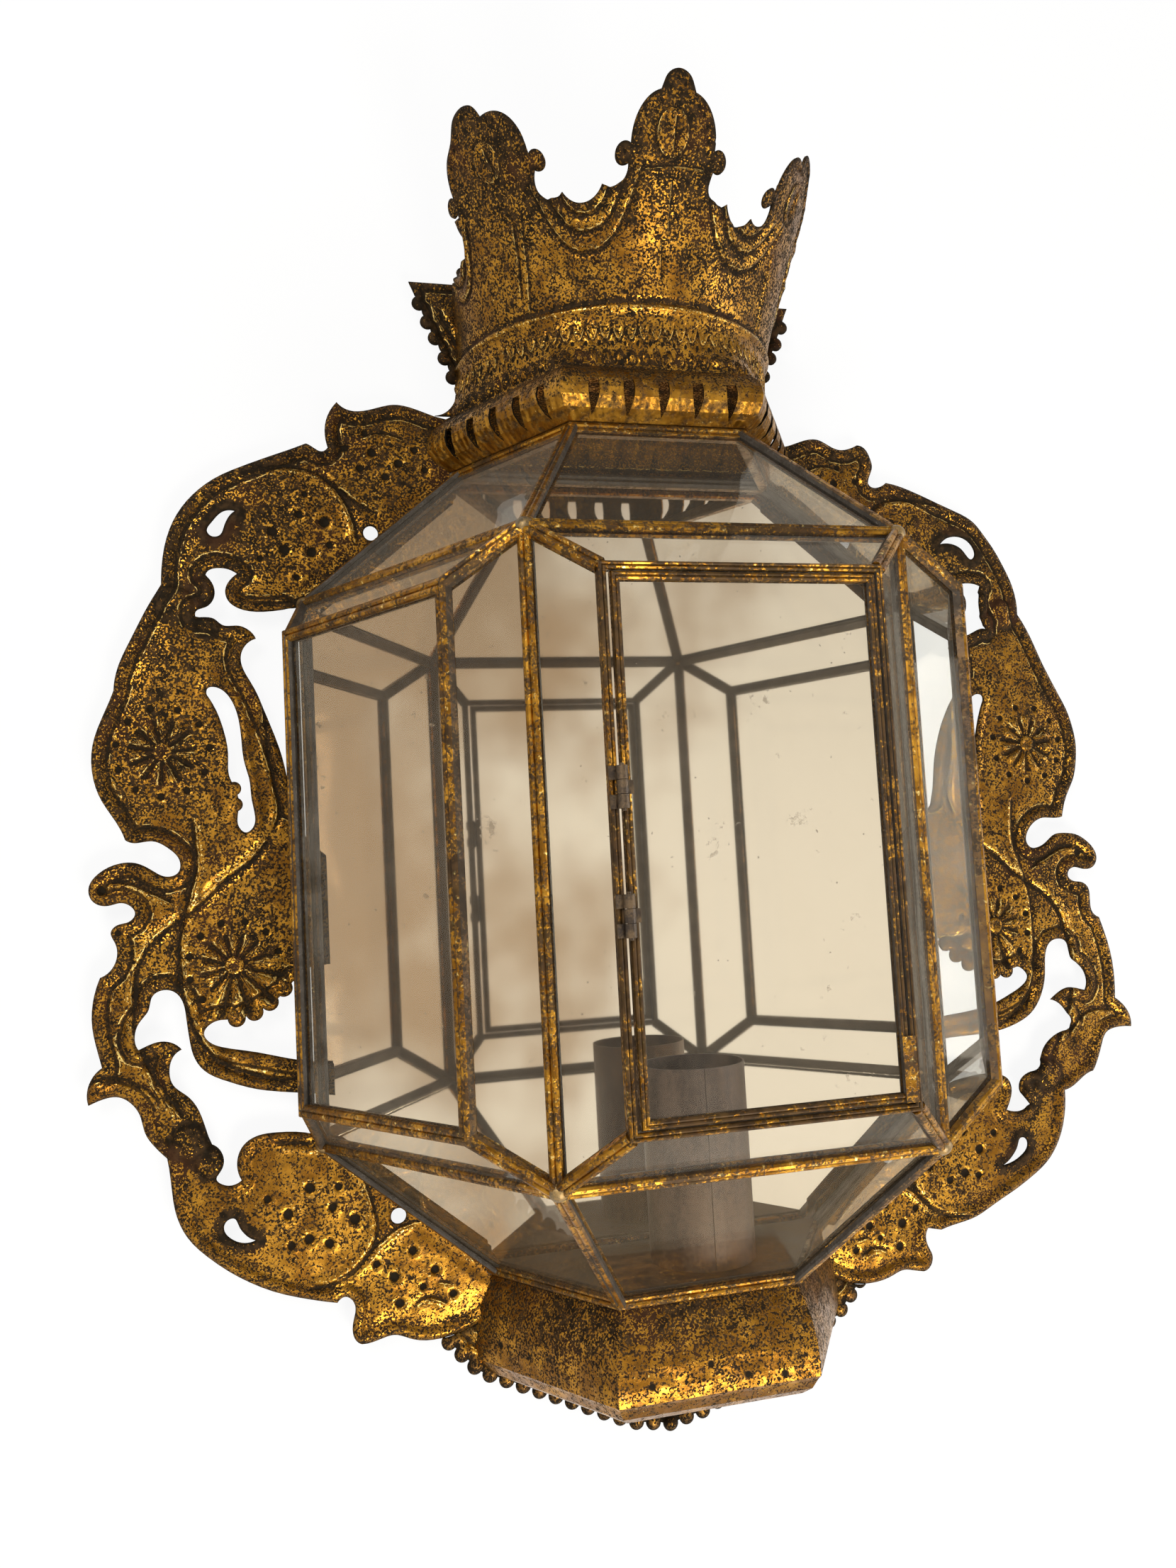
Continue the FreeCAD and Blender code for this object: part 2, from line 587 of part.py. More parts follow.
LEFT_LOWER_BAY_SHARES = [
    [(-0.08, -1.055), (0.06, -1.03)],
    [(0.18, -1.013), (0.3, -0.988), (0.42, -0.943), (0.52, -0.885), (0.56, -0.825), (0.58, -0.74),
     (0.592, -0.64), (0.605, -0.57), (0.635, -0.525), (0.69, -0.51), (0.735, -0.535), (0.753, -0.595),
     (0.795, -0.65), (0.815, -0.71), (0.8, -0.77)],
    [(0.76, -0.753), (0.7, -0.74), (0.65, -0.753), (0.615, -0.783)],
    [(0.65, -0.81), (0.67, -0.87), (0.655, -0.94), (0.595, -0.995), (0.545, -1.07), (0.51, -1.18),
     (0.495, -1.22)],
    [(0.46, -1.25), (0.445, -1.295), (0.46, -1.34), (0.48, -1.378), (0.45, -1.405), (0.405, -1.41),
     (0.37, -1.393)],
    [(0.387, -1.345), (0.385, -1.29), (0.355, -1.235), (0.3, -1.203), (0.21, -1.195), (0.12, -1.202),
     (0.03, -1.223)],
    [(-0.08, -1.26)],
]
# Pierced slots
LEFT_UPPER_SLOT_SHARES = [
    [(0.305, 1.73), (0.365, 1.726), (0.415, 1.675), (0.437, 1.63), (0.42, 1.606), (0.38, 1.61),
     (0.36, 1.65), (0.34, 1.695), (0.305, 1.73)],
]
LEFT_LONG_SLOT_SHARES = [
    [(0.46, 0.845), (0.45, 0.88), (0.415, 0.88), (0.36, 0.835), (0.323, 0.74), (0.31, 0.62), (0.3, 0.52),
     (0.28, 0.44), (0.273, 0.35), (0.26, 0.27), (0.27, 0.215), (0.303, 0.193), (0.333, 0.22), (0.338, 0.27),
     (0.33, 0.33), (0.345, 0.4), (0.37, 0.46), (0.372, 0.56), (0.385, 0.66), (0.415, 0.76), (0.46, 0.845)],
]
LEFT_LOWER_SLOT_SHARES = [
    [(0.315, -1.665), (0.37, -1.672), (0.42, -1.65), (0.453, -1.605), (0.44, -1.565), (0.408, -1.558),
     (0.39, -1.59), (0.363, -1.633), (0.315, -1.665)],
]
# Beads on the lower rosette's edge and in the long slot
LEFT_SCALLOP_SHARES = [(0.095, -0.475), (0.155, -0.54), (0.22, -0.6), (0.29, -0.64), (0.37, -0.662)]
LEFT_SLOT_BEAD_SHARES = [(0.345, 0.325), (0.35, 0.4)]

RIGHT_EDGE_SHARES = [
    [(-0.76, 2.14), (-0.63, 2.16)],
    [(-0.57, 2.18), (-0.51, 2.2), (-0.44, 2.203), (-0.38, 2.175), (-0.32, 2.153), (-0.26, 2.16),
     (-0.21, 2.182)],
    [(-0.165, 2.165), (-0.135, 2.11), (-0.127, 2.06), (-0.142, 2.02), (-0.157, 1.97)],
    [(-0.135, 1.948), (-0.1, 1.948), (-0.05, 1.975)],
    [(0.1, 1.935), (0.22, 1.885), (0.34, 1.835), (0.42, 1.8), (0.48, 1.76), (0.53, 1.7), (0.585, 1.62),
     (0.635, 1.53), (0.68, 1.43), (0.705, 1.33), (0.71, 1.24)],
    [(0.78, 1.11), (0.83, 0.99), (0.875, 0.89), (0.92, 0.8), (0.97, 0.7), (1, 0.6), (1.015, 0.5),
     (1.005, 0.4), (0.975, 0.3), (0.93, 0.22), (0.9, 0.15), (0.885, 0.095)],
    [(0.83, 0.09), (0.76, 0.093), (0.7, 0.067), (0.655, 0.015), (0.645, -0.03), (0.67, -0.067),
     (0.71, -0.07), (0.77, -0.045), (0.83, -0.003), (0.9, 0.003), (0.97, -0.01), (1.02, -0.04),
     (1.065, -0.085), (1.085, -0.14), (1.06, -0.19), (1, -0.203), (0.945, -0.19), (0.9, -0.205),
     (0.89, -0.235), (0.92, -0.265), (0.975, -0.275), (1.013, -0.305), (1.02, -0.36), (1.02, -0.425),
     (1.067, -0.475)],
    [(1.1, -0.58), (1.125, -0.7), (1.133, -0.8), (1.125, -0.925)],
    [(1.18, -0.975), (1.21, -1.03), (1.213, -1.09)],
    [(1.12, -1.087), (1.05, -1.11), (1.01, -1.18), (0.985, -1.24), (0.945, -1.31)],
    [(0.88, -1.335), (0.81, -1.38), (0.758, -1.397)],
    [(0.753, -1.47), (0.73, -1.57), (0.69, -1.665), (0.625, -1.75), (0.53, -1.82), (0.41, -1.885),
     (0.28, -1.945), (0.14, -2.005), (0.03, -2.025), (-0.055, -2.043)],
    [(-0.095, -2.033), (-0.13, -2.025)],
    [(-0.145, -2.055), (-0.14, -2.11), (-0.117, -2.17), (-0.127, -2.21), (-0.175, -2.24)],
    [(-0.24, -2.225), (-0.29, -2.218), (-0.36, -2.24), (-0.46, -2.258), (-0.56, -2.252), (-0.63, -2.23)],
    [(-0.76, -2.16)],
]
RIGHT_UPPER_BAY_SHARES = [
    [(-0.08, 1.28), (0.02, 1.24)],
    [(0.12, 1.21), (0.22, 1.195), (0.31, 1.205), (0.365, 1.235), (0.39, 1.29), (0.383, 1.34),
     (0.35, 1.378), (0.31, 1.395)],
    [(0.365, 1.413), (0.425, 1.418), (0.487, 1.403)],
    [(0.468, 1.35), (0.458, 1.3), (0.465, 1.25), (0.483, 1.2), (0.495, 1.153)],
    [(0.445, 1.153), (0.4, 1.13), (0.34, 1.115), (0.29, 1.09), (0.26, 1.05)],
    [(0.305, 1.02), (0.33, 0.97), (0.325, 0.91), (0.28, 0.82), (0.23, 0.725), (0.185, 0.64),
     (0.145, 0.53), (0.115, 0.4), (0.095, 0.27), (0.01, 0.1)],
    [(-0.08, 0.03)],
]
RIGHT_MIDDLE_BAY_SHARES = [
    [(-0.08, -0.51), (0.06, -0.525)],
    [(0.12, -0.595), (0.2, -0.665), (0.3, -0.71), (0.39, -0.732), (0.465, -0.726), (0.52, -0.713)],
    [(0.56, -0.728), (0.58, -0.765), (0.555, -0.81), (0.48, -0.853), (0.37, -0.898), (0.24, -0.925),
     (0.08, -0.94)],
    [(-0.08, -0.955)],
]
RIGHT_LOWER_BAY_SHARES = [
    [(-0.08, -1.07), (0.08, -1.058)],
    [(0.25, -1.055), (0.38, -1.045), (0.5, -1.013), (0.6, -0.955), (0.665, -0.86), (0.695, -0.75),
     (0.71, -0.645), (0.74, -0.595), (0.8, -0.578), (0.845, -0.595), (0.86, -0.645), (0.875, -0.697),
     (0.92, -0.735), (0.953, -0.8), (0.94, -0.87)],
    [(0.89, -0.856), (0.833, -0.848), (0.775, -0.867), (0.717, -0.905)],
    [(0.77, -0.93), (0.81, -0.975), (0.832, -1.02), (0.823, -1.07)],
    [(0.75, -1.09), (0.683, -1.127), (0.643, -1.175), (0.62, -1.235), (0.575, -1.28)],
    [(0.525, -1.293), (0.49, -1.323), (0.48, -1.36), (0.493, -1.4), (0.53, -1.45)],
    [(0.495, -1.477), (0.45, -1.483), (0.39, -1.467)],
    [(0.415, -1.42), (0.43, -1.365), (0.415, -1.31), (0.355, -1.275), (0.26, -1.267), (0.14, -1.278),
     (0.03, -1.3)],
    [(-0.08, -1.33)],
]
RIGHT_UPPER_SLOT_SHARES = [
    [(0.255, 1.635), (0.3, 1.67), (0.36, 1.682), (0.425, 1.663), (0.465, 1.615), (0.465, 1.57),
     (0.44, 1.553), (0.413, 1.575), (0.38, 1.613), (0.33, 1.636), (0.255, 1.635)],
]
RIGHT_LONG_SLOT_SHARES = [
    [(0.445, 0.755), (0.435, 0.79), (0.4, 0.79), (0.355, 0.75), (0.32, 0.66), (0.31, 0.54), (0.3, 0.44),
     (0.285, 0.36), (0.28, 0.27), (0.27, 0.19), (0.28, 0.135), (0.31, 0.113), (0.34, 0.14),
     (0.345, 0.19), (0.34, 0.23), (0.343, 0.34), (0.365, 0.38), (0.368, 0.48), (0.385, 0.58),
     (0.41, 0.67), (0.445, 0.755)],
]
RIGHT_LOWER_SLOT_SHARES = [
    [(0.33, -1.755), (0.4, -1.745), (0.46, -1.715), (0.498, -1.67), (0.49, -1.63), (0.455, -1.623),
     (0.435, -1.66), (0.405, -1.705), (0.33, -1.755)],
]
RIGHT_SCALLOP_SHARES = [(0.1, -0.56), (0.16, -0.625), (0.23, -0.676),
                        (0.306, -0.71), (0.382, -0.729), (0.456, -0.727)]
RIGHT_SLOT_BEAD_SHARES = [(0.345, 0.26), (0.35, 0.33)]


def wing_point(share):
    """A point of the right wing's outline, on the plane of the plate's back."""
    unit = size("scroll_unit")
    return vec(BACK_HALF + share[0] * unit, PLATE_BACK, share[1] * unit)


def outline_face(strokes, place=wing_point):
    """A flat face inside a chain of strokes."""
    edges = []
    last = None
    for stroke in strokes:
        points = [place(share) for share in stroke]
        if last is not None:
            points = [last] + points
        if len(points) == 2:
            edges.append(Part.makeLine(points[0], points[1]))
        else:
            curve = Part.BSplineCurve()
            curve.interpolate(points)
            edges.append(curve.toShape())
        last = points[-1]
    first = place(strokes[0][0])
    if (last - first).Length > 0.001 * size("scroll_unit"):
        edges.append(Part.makeLine(last, first))
    return Part.Face(Part.Wire(edges))


def disc(centre, radius):
    """A flat round face on the plate's back plane."""
    return Part.Face(Part.Wire(Part.makeCircle(radius, centre, FRONT)))


window = lantern_back.makeOffset2D(-size("wing_lap"))
window.translate(FRONT * -PLATE_BACK)


def wing(edge, bays, slots, scallops, slot_beads):
    """One wing as a right-hand sheet: the upper, middle and lower bay, and the three slots."""
    upper_bay, middle_bay, lower_bay = [outline_face(shares) for shares in bays]
    upper_slot, long_slot, lower_slot = [outline_face(shares) for shares in slots]
    beads = [disc(wing_point(share), size("scallop_bead")) for share in scallops]
    small = [disc(wing_point(share), size("slot_bead")) for share in slot_beads]
    screws = [disc(vec(size("screw_x"), PLATE_BACK, step * size("screw_z")), size("screw_radius"))
              for step in (1, -1)]
    slots_cut = [upper_slot, long_slot.cut(small), lower_slot]
    gaps = [window, upper_bay, middle_bay.cut(beads), lower_bay] + slots_cut
    sheet_solids = outline_face(edge).cut(gaps + screws).extrude(FRONT * GAUGE).Solids
    return max(sheet_solids, key=lambda piece: piece.Volume)


right_wing = wing(RIGHT_EDGE_SHARES,
                  (RIGHT_UPPER_BAY_SHARES, RIGHT_MIDDLE_BAY_SHARES, RIGHT_LOWER_BAY_SHARES),
                  (RIGHT_UPPER_SLOT_SHARES, RIGHT_LONG_SLOT_SHARES, RIGHT_LOWER_SLOT_SHARES),
                  RIGHT_SCALLOP_SHARES, RIGHT_SLOT_BEAD_SHARES)
left_wing = wing(LEFT_EDGE_SHARES, (LEFT_UPPER_BAY_SHARES, LEFT_MIDDLE_BAY_SHARES, LEFT_LOWER_BAY_SHARES),
                 (LEFT_UPPER_SLOT_SHARES, LEFT_LONG_SLOT_SHARES, LEFT_LOWER_SLOT_SHARES),
                 LEFT_SCALLOP_SHARES, LEFT_SLOT_BEAD_SHARES)
left_wing = left_wing.mirror(ORIGIN, vec(1, 0, 0))
node("right_wing", right_wing)
node("left_wing", left_wing)

# Top shield: flared, flat on top, with beads down its sides. Shares of its flare and of its height
# above the top ring.
SHIELD_SHARES = [(1.0, 1.0), (0.955, 0.885), (0.918, 0.787), (0.883, 0.705), (0.84, 0.6), (0.805, 0.5),
                 (0.79, 0.42), (0.83, 0.33), (0.9, 0.295)]
shield_foot = RING_UP + BAR / 2
shield_rise = size("shield_top") - shield_foot


def shield_point(share):
    return vec(share[0] * size("shield_flare"), PLATE_BACK, shield_foot + share[1] * shield_rise)


def mirror_x(shape):
    return shape.mirror(ORIGIN, vec(1, 0, 0))


root = size("wing_root")
side_curve = Part.BSplineCurve()
side_curve.interpolate([shield_point(share) for share in SHIELD_SHARES])
lower_end = shield_point(SHIELD_SHARES[-1])
shield_half = Part.Face(Part.Wire([
    Part.makeLine(vec(0, PLATE_BACK, size("shield_top")), shield_point(SHIELD_SHARES[0])),
    side_curve.toShape(),
    Part.makeLine(lower_end, vec(root, PLATE_BACK, lower_end.z)),
    Part.makeLine(vec(root, PLATE_BACK, lower_end.z), vec(root, PLATE_BACK, shield_foot)),
    Part.makeLine(vec(root, PLATE_BACK, shield_foot), vec(0, PLATE_BACK, shield_foot)),
    Part.makeLine(vec(0, PLATE_BACK, shield_foot), vec(0, PLATE_BACK, size("shield_top")))]))
shield_beads = [disc(shield_point(share), size("shield_bead")) for share in SHIELD_SHARES[1:6]]
shield_half = shield_half.fuse(shield_beads).extrude(FRONT * GAUGE)
shield = shield_half.fuse(mirror_x(shield_half)).removeSplitter().cut([right_wing, left_wing])
node("top_shield", max(shield.Solids, key=lambda piece: piece.Volume))

# Bottom apron: a shallow V with a row of beads along its edge. Shares of the wing root and of the tip.
APRON_SHARES = [(1.26, 0.808), (1.095, 0.863), (0.66, 0.925), (0.225, 0.988), (0, 1.0)]
apron_foot = RING_DOWN - BAR / 2


def apron_point(share):
    return vec(share[0] * root, PLATE_BACK, -share[1] * size("apron_tip"))


apron_rim = [apron_point(share) for share in APRON_SHARES]
apron_half = Part.Face(Part.makePolygon([vec(0, PLATE_BACK, apron_foot), vec(root, PLATE_BACK, apron_foot)]
                                        + apron_rim + [vec(0, PLATE_BACK, apron_foot)]))
rim_wire = Part.makePolygon(list(reversed(apron_rim)))
bead_count = int(rim_wire.Length / size("apron_bead_pitch"))
bead_places = rim_wire.discretize(Number=bead_count + 1)
apron_beads = [disc(place, size("apron_bead")) for place in bead_places]
apron_half = apron_half.fuse(apron_beads).extrude(FRONT * GAUGE)
apron = apron_half.fuse(mirror_x(apron_half)).removeSplitter().cut([right_wing, left_wing])
node("bottom_apron", max(apron.Solids, key=lambda piece: piece.Volume))


# Collar and pan: three bulged faces that follow the rings, mitred at the corners. A level is given as
# how far the outside stands off the ring's centre line, with the height; the side faces, which lie
# nearer to the lantern's middle line, swell in proportion.
def ring_outline(stand, height, shrink):
    """Outline that follows the ring: left wall end, both front corners, right wall end."""
    centre = vec(0, BODY_BACK, 0)
    corners = outline_at(ring_corner, 0)
    lines = []
    for start, end in zip(corners, corners[1:]):
        along = (end - start).normalize()
        out = along.cross(UP)
        apothem = (start - centre).dot(out)
        lines.append((start + out * (stand * apothem / size("ring_depth") - shrink), along))
    front = lines[1][0].y
    outline = []
    for (base, along), depth in ((lines[0], PLATE_FRONT), (lines[0], front),
                                 (lines[2], front), (lines[2], PLATE_FRONT)):
        outline.append(base + along * ((depth - base.y) / along.y) + UP * height)
    return outline


def ring_loft(levels, shrink):
    """Solid through outlines that follow the ring, closed along the plate."""
    wires = []
    for stand, height in levels:
        outline = ring_outline(stand, height, shrink)
        wires.append(Part.makePolygon(outline + outline[:1]))
    return Part.makeLoft(wires, True, True)


collar_foot = RING_UP + BAR_THICK / 2
collar_top = collar_foot + size("collar_rise")
# Collar's section from foot to top: share of the way from its edge's stand to its swell, share of its rise
COLLAR_SHARES = [(0, 0), (0.62, 0.17), (0.93, 0.36), (1, 0.52), (0.95, 0.68), (0.8, 0.84), (0.5, 1)]


def collar_levels():
    foot = BAR / 2
    levels = []
    for swell, rise in COLLAR_SHARES:
        edge = foot if rise < 0.5 else 2 * size("collar_lip") - size("collar_bulge")
        stand = edge + (size("collar_bulge") - edge) * swell
        levels.append((stand, collar_foot + rise * size("collar_rise")))
    return levels


collar = ring_loft(collar_levels(), 0).cut(ring_loft(collar_levels(), GAUGE))

# Almond vents: flat on top and pointed below, five to a face, as shares of their width and height
VENT_SHARES = [(-0.42, 0.46), (0.42, 0.46), (0.5, 0.12), (0.0, -0.54), (-0.5, 0.12)]
vents = []
corners = [ring_corner(side, front, 0) for side, front in ((-1, False), (-1, True), (1, True), (1, False))]
vent_level = (collar_foot + collar_top) / 2 - size("vent_drop")
for i in range(3):
    along = (corners[i + 1] - corners[i]).normalize()
    out = along.cross(UP)
    middle = (corners[i + 1] + corners[i]) * 0.5 + UP * vent_level
    for step in range(-2, 3):
        heart = middle + along * (step * size("vent_pitch"))
        top = [heart + along * (s * size("vent_width")) + UP * (h * size("vent_height"))
               for s, h in VENT_SHARES]
        sides = [Part.makeLine(top[0], top[1])]
        sides.append(Part.Arc(top[1], top[2], top[3]).toShape())
        sides.append(Part.Arc(top[3], top[4], top[0]).toShape())
        vents.append(Part.Face(Part.Wire(sides)).extrude(out * OVERRUN))
node("vent_collar", collar.cut(vents))

# Pan's section from the ring down to the start of its rolled edge: share of its swell, share of its drop
PAN_SHARES = [(0, 0), (0.4, 0.14), (0.72, 0.3), (0.92, 0.47), (1, 0.64), (0.99, 0.76)]
# The rolled edge: share of the heel inwards and upwards from the floor
HEEL_SHARES = [(0.1, 0.68), (0.3, 0.36), (0.62, 0.13), (1.05, 0.02), (1.6, 0)]
pan_top = RING_DOWN - BAR_THICK / 2
pan_floor = pan_top - size("pan_drop")


def pan_levels(lift):
    bulge = size("pan_bulge")
    heel = size("pan_heel")
    levels = [(bulge * swell, pan_top - size("pan_drop") * drop) for swell, drop in PAN_SHARES]
    for inward, up in HEEL_SHARES:
        levels.append((bulge - heel * inward, pan_floor + lift + heel * up))
    return levels


node("bottom_pan", ring_loft(pan_levels(0), 0).cut(ring_loft(pan_levels(GAUGE), GAUGE)))

# Crown plate: it closes the collar, and the crown stands on it. The crown's foot follows the collar's
# edge with its two front corners rounded; at the embossed ring the plan is half an ellipse. Higher up it
# is given as shares of its half width and of its depth off the plate: widest before the wall, and drawn
# in again at the wall.
CROWN_PLAN_SHARES = [(0.94, 0), (0.985, 0.2), (0.99, 0.38), (0.87, 0.577), (0.645, 0.797), (0.34, 0.95),
                     (0, 1)]
# One point of the crown with its tip, as shares of its half width across and upwards from the dome's centre
POINT_SHARES = [
    [(1, -1.4), (1, 0)],
    [(0.965, 0.27), (0.86, 0.52), (0.69, 0.73), (0.41, 0.88)],
    [(0.355, 1.02), (0.27, 1.18), (0.14, 1.275), (0, 1.306), (-0.14, 1.275), (-0.27, 1.18), (-0.355, 1.02),
     (-0.41, 0.88)],
    [(-0.69, 0.73), (-0.86, 0.52), (-0.965, 0.27), (-1, 0)],
    [(-1, -1.4)],
]
CROWN_FOOT = collar_top + GAUGE
ELLIPSE_SHARES = [(math.cos(math.radians(15 * i)), math.sin(math.radians(15 * i))) for i in range(7)]


def plan_wire(right_side):
    """A plan of the crown from its right half, closed along the plate."""
    left_side = [vec(-point.x, point.y, point.z) for point in reversed(right_side[:-1])]
    curve = Part.BSplineCurve()
    curve.interpolate(right_side + left_side)
    wire = Part.Wire([curve.toShape(), Part.makeLine(left_side[-1], right_side[0])])
    return wire


def foot_half(shrink):
    """Right half of the crown's foot, from the wall to the middle."""
    outline = ring_outline(size("collar_lip"), CROWN_FOOT, size("crown_set") + shrink)
    turn, wall = outline[2], outline[3]
    middle = vec(0, turn.y, CROWN_FOOT)
    side = wall - turn
    half_turn = side.getAngle(middle - turn) / 2
    inwards = (side.normalize() + (middle - turn).normalize()).normalize()
    rounded = turn + inwards * (size("foot_rounding") * (1 / math.sin(half_turn) - 1))
    start = vec(min(wall.x, size("crown_foot_half") - shrink), PLATE_FRONT, CROWN_FOOT)
    return ([start] + [wall + (turn - wall) * share for share in (0.26, 0.52, 0.78)]
            + [rounded, turn + (middle - turn) * 0.45, middle])


def crown_solid(shrink):
    """Solid inside the crown's outer surface, or inside its inner one."""
    wires = [plan_wire(foot_half(shrink))]
    for name, rise, shares in (("ring", size("ring_rise"), ELLIPSE_SHARES),
                               ("mid", size("crown_rise"), CROWN_PLAN_SHARES),
                               ("top", size("crown_height"), CROWN_PLAN_SHARES)):
        half, deep = size(f"crown_{name}_half") - shrink, size(f"crown_{name}_deep") - shrink
        wires.append(plan_wire([vec(x * half, PLATE_FRONT - y * deep, CROWN_FOOT + rise) for x, y in shares]))
    return Part.makeLoft(wires, True, False)


node("crown_plate", prism(ring_outline(size("collar_lip"), collar_top, 0), UP * GAUGE))
crown_sheet = crown_solid(0).cut(crown_solid(GAUGE))


def facing(turn):
    """Directions outwards and sideways at a turn from the front, in degrees."""
    angle = math.radians(turn)
    return vec(math.sin(angle), -math.cos(angle), 0), vec(math.cos(angle), math.sin(angle), 0)


def rod(turn, shift, level, radius):
    """A round cutter that runs outwards through the sheet."""
    outward, across = facing(turn)
    start = vec(0, PLATE_FRONT, CROWN_FOOT + level) + across * shift + outward * OVERRUN
    return Part.makeCylinder(radius, 2 * size("crown_top_deep"), start, outward)


def crown_point(turn, shift, half, level, drop, lean=0):
    """Room for one point with its tip, and for the balls beside it."""
    outward, across = facing(turn)
    heart = vec(0, PLATE_FRONT, CROWN_FOOT + level) + across * shift + outward * OVERRUN

    def place(share):
        tip_lean = lean if share[1] > 0.8 else 0
        return heart + across * (share[0] * half + tip_lean) + UP * (share[1] * size("point_half"))
    body = outline_face(POINT_SHARES, place).extrude(outward * (2 * size("crown_top_deep")))
    reach = half + size("side_ball_out")
    balls = [rod(turn, shift + step * reach, level - drop, size("side_ball")) for step in (-1, 1)]
    return body, balls


def slab(rear, front, foot):
    """Block across the whole width between two depths off the plate, from a level upwards."""
    return Part.makeBox(4 * size("back_width"), front - rear, 2 * size("crown_height"),
                        vec(-2 * size("back_width"), PLATE_FRONT - front, foot))


# The sheet below the points; it reaches up behind the balls
band = Part.makeBox(4 * size("back_width"), 2 * size("back_width"),
                    size("valley_height") + 0.7 * size("side_ball"),
                    vec(-2 * size("back_width"), PLATE_FRONT - 2 * size("back_width"), CROWN_FOOT))
heel_foot = CROWN_FOOT + size("heel_height")
heel = vec(-2 * size("back_width"), PLATE_FRONT - size("heel_out"), heel_foot + size("heel_radius"))
heel_cuts = [Part.makeCylinder(size("heel_radius"), 4 * size("back_width"), heel, vec(1, 0, 0)),
             slab(0, size("heel_out"), heel_foot),
             slab(size("heel_out"), size("heel_out") + size("heel_radius"), heel.z)]
body, balls = crown_point(0, 0, size("point_half"), size("point_height"), size("front_ball_drop"))
bodies = [body]
valleys = []
for side in (-1, 1):
    body, side_balls = crown_point(side * size("side_turn"), -side * size("side_shift"), size("side_half"),
                                   size("side_height") - side * size("side_skew"), size("side_ball_drop"),
                                   side * size("side_lean"))
    bodies.append(body)
    balls += side_balls
    valley_level = size("valley_height") - side * size("valley_skew")
    valleys.append(rod(side * size("valley_turn"), 0, valley_level - size("valley_mid_drop"),
                       size("valley_mid_radius")))
    for step in (-1, 1):
        valleys.append(rod(side * size("valley_turn"), step * size("valley_step"), valley_level,
                           size("valley_radius")))
room = band.cut(heel_cuts).multiFuse(bodies).cut(valleys).multiFuse(balls)
crown = crown_sheet.common(room)
node("crown", max(crown.Solids, key=lambda piece: piece.Volume))

# Floor plate on the bottom ring, which the candle sleeve stands on
floor_top = RING_DOWN + BAR_THICK / 2 + GAUGE
floor_points = [point + UP * (BAR_THICK / 2) for point in RING_FOOT]
floor_edge = [vec(point.x, min(point.y, PLATE_FRONT - BAR_THICK / 2), point.z) for point in floor_points]
node("floor_plate", prism(floor_edge, UP * GAUGE))

sleeve_foot = floor_top + size("disc_thick")
sleeve_place = vec(size("sleeve_x"), -size("sleeve_out"), 0)
disc_body = cylinder("sleeve_disc", "Sizes.sleeve_radius", "Sizes.disc_thick", sleeve_place + UP * floor_top)
keep("sleeve_disc", disc_body)
sleeve_base = sleeve_place + UP * sleeve_foot
outer = cylinder("sleeve_outer", "Sizes.sleeve_radius", "Sizes.sleeve_height", sleeve_base)
bore = cylinder("sleeve_bore", "Sizes.sleeve_radius - Sizes.sleeve_wall", "Sizes.sleeve_height", sleeve_base)
seam_side = vec(-size("seam_width") / 2, -size("sleeve_radius") - size("sleeve_wall") * 0.5, 0)
lap = block("sleeve_lap", "Sizes.seam_width", "Sizes.sleeve_radius + Sizes.sleeve_wall * 0.5",
            "Sizes.sleeve_height", sleeve_base + seam_side)
keep("candle_sleeve", bored("candle_sleeve", fused("sleeve_tube", [outer, lap]), bore))

doc.recompute()
broken = [item.Label for item in doc.Objects if "Invalid" in item.State or "Error" in item.State]
if broken:
    raise RuntimeError("failed objects: " + ", ".join(broken))
os.makedirs("parts", exist_ok=True)
for piece in NODES:
    shape = piece.Shape
    if shape.isNull() or not shape.isValid() or not shape.Solids:
        raise RuntimeError(piece.Label + " has no valid solid")
    shape.exportStep(os.path.join("parts", piece.Label + ".step"))
    print(f"{piece.Label}: {len(shape.Solids)} solids, {shape.Volume / 1000:.2f} cm3")
print(len(NODES), "nodes")
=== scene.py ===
"""Wall sconce: embossed gilt sheets, came bars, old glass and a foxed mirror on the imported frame."""

import json
import math

import bpy
import numpy as np
from mathutils import Matrix, Vector, geometry


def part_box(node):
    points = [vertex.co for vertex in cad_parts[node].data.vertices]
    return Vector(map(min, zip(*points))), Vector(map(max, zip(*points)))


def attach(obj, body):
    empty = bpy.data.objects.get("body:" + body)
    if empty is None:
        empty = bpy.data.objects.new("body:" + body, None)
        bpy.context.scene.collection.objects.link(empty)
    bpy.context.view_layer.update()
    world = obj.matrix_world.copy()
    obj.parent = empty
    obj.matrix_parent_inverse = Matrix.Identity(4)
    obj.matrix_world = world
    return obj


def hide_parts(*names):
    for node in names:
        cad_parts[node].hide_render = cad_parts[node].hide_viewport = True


MM = 0.001
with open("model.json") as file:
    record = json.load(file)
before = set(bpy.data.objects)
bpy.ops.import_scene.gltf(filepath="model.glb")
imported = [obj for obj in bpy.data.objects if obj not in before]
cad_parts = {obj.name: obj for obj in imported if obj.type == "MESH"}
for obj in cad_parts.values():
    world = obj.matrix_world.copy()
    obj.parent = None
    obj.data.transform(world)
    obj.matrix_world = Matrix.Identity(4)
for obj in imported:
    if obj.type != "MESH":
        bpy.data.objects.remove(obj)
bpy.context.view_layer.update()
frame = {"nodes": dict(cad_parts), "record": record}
NODES = frame["nodes"]

# Camera, fitted to the corners of the lantern in the photograph
CAMERA_PLACE = (-0.17973, -0.59846, -0.01219)
YAW, PITCH, ROLL = math.radians(14.79), math.radians(4.57), math.radians(-3.13)
FOCAL_LENGTH = 27.93
SENSOR_HEIGHT = 36
CLIP_START = 0.02


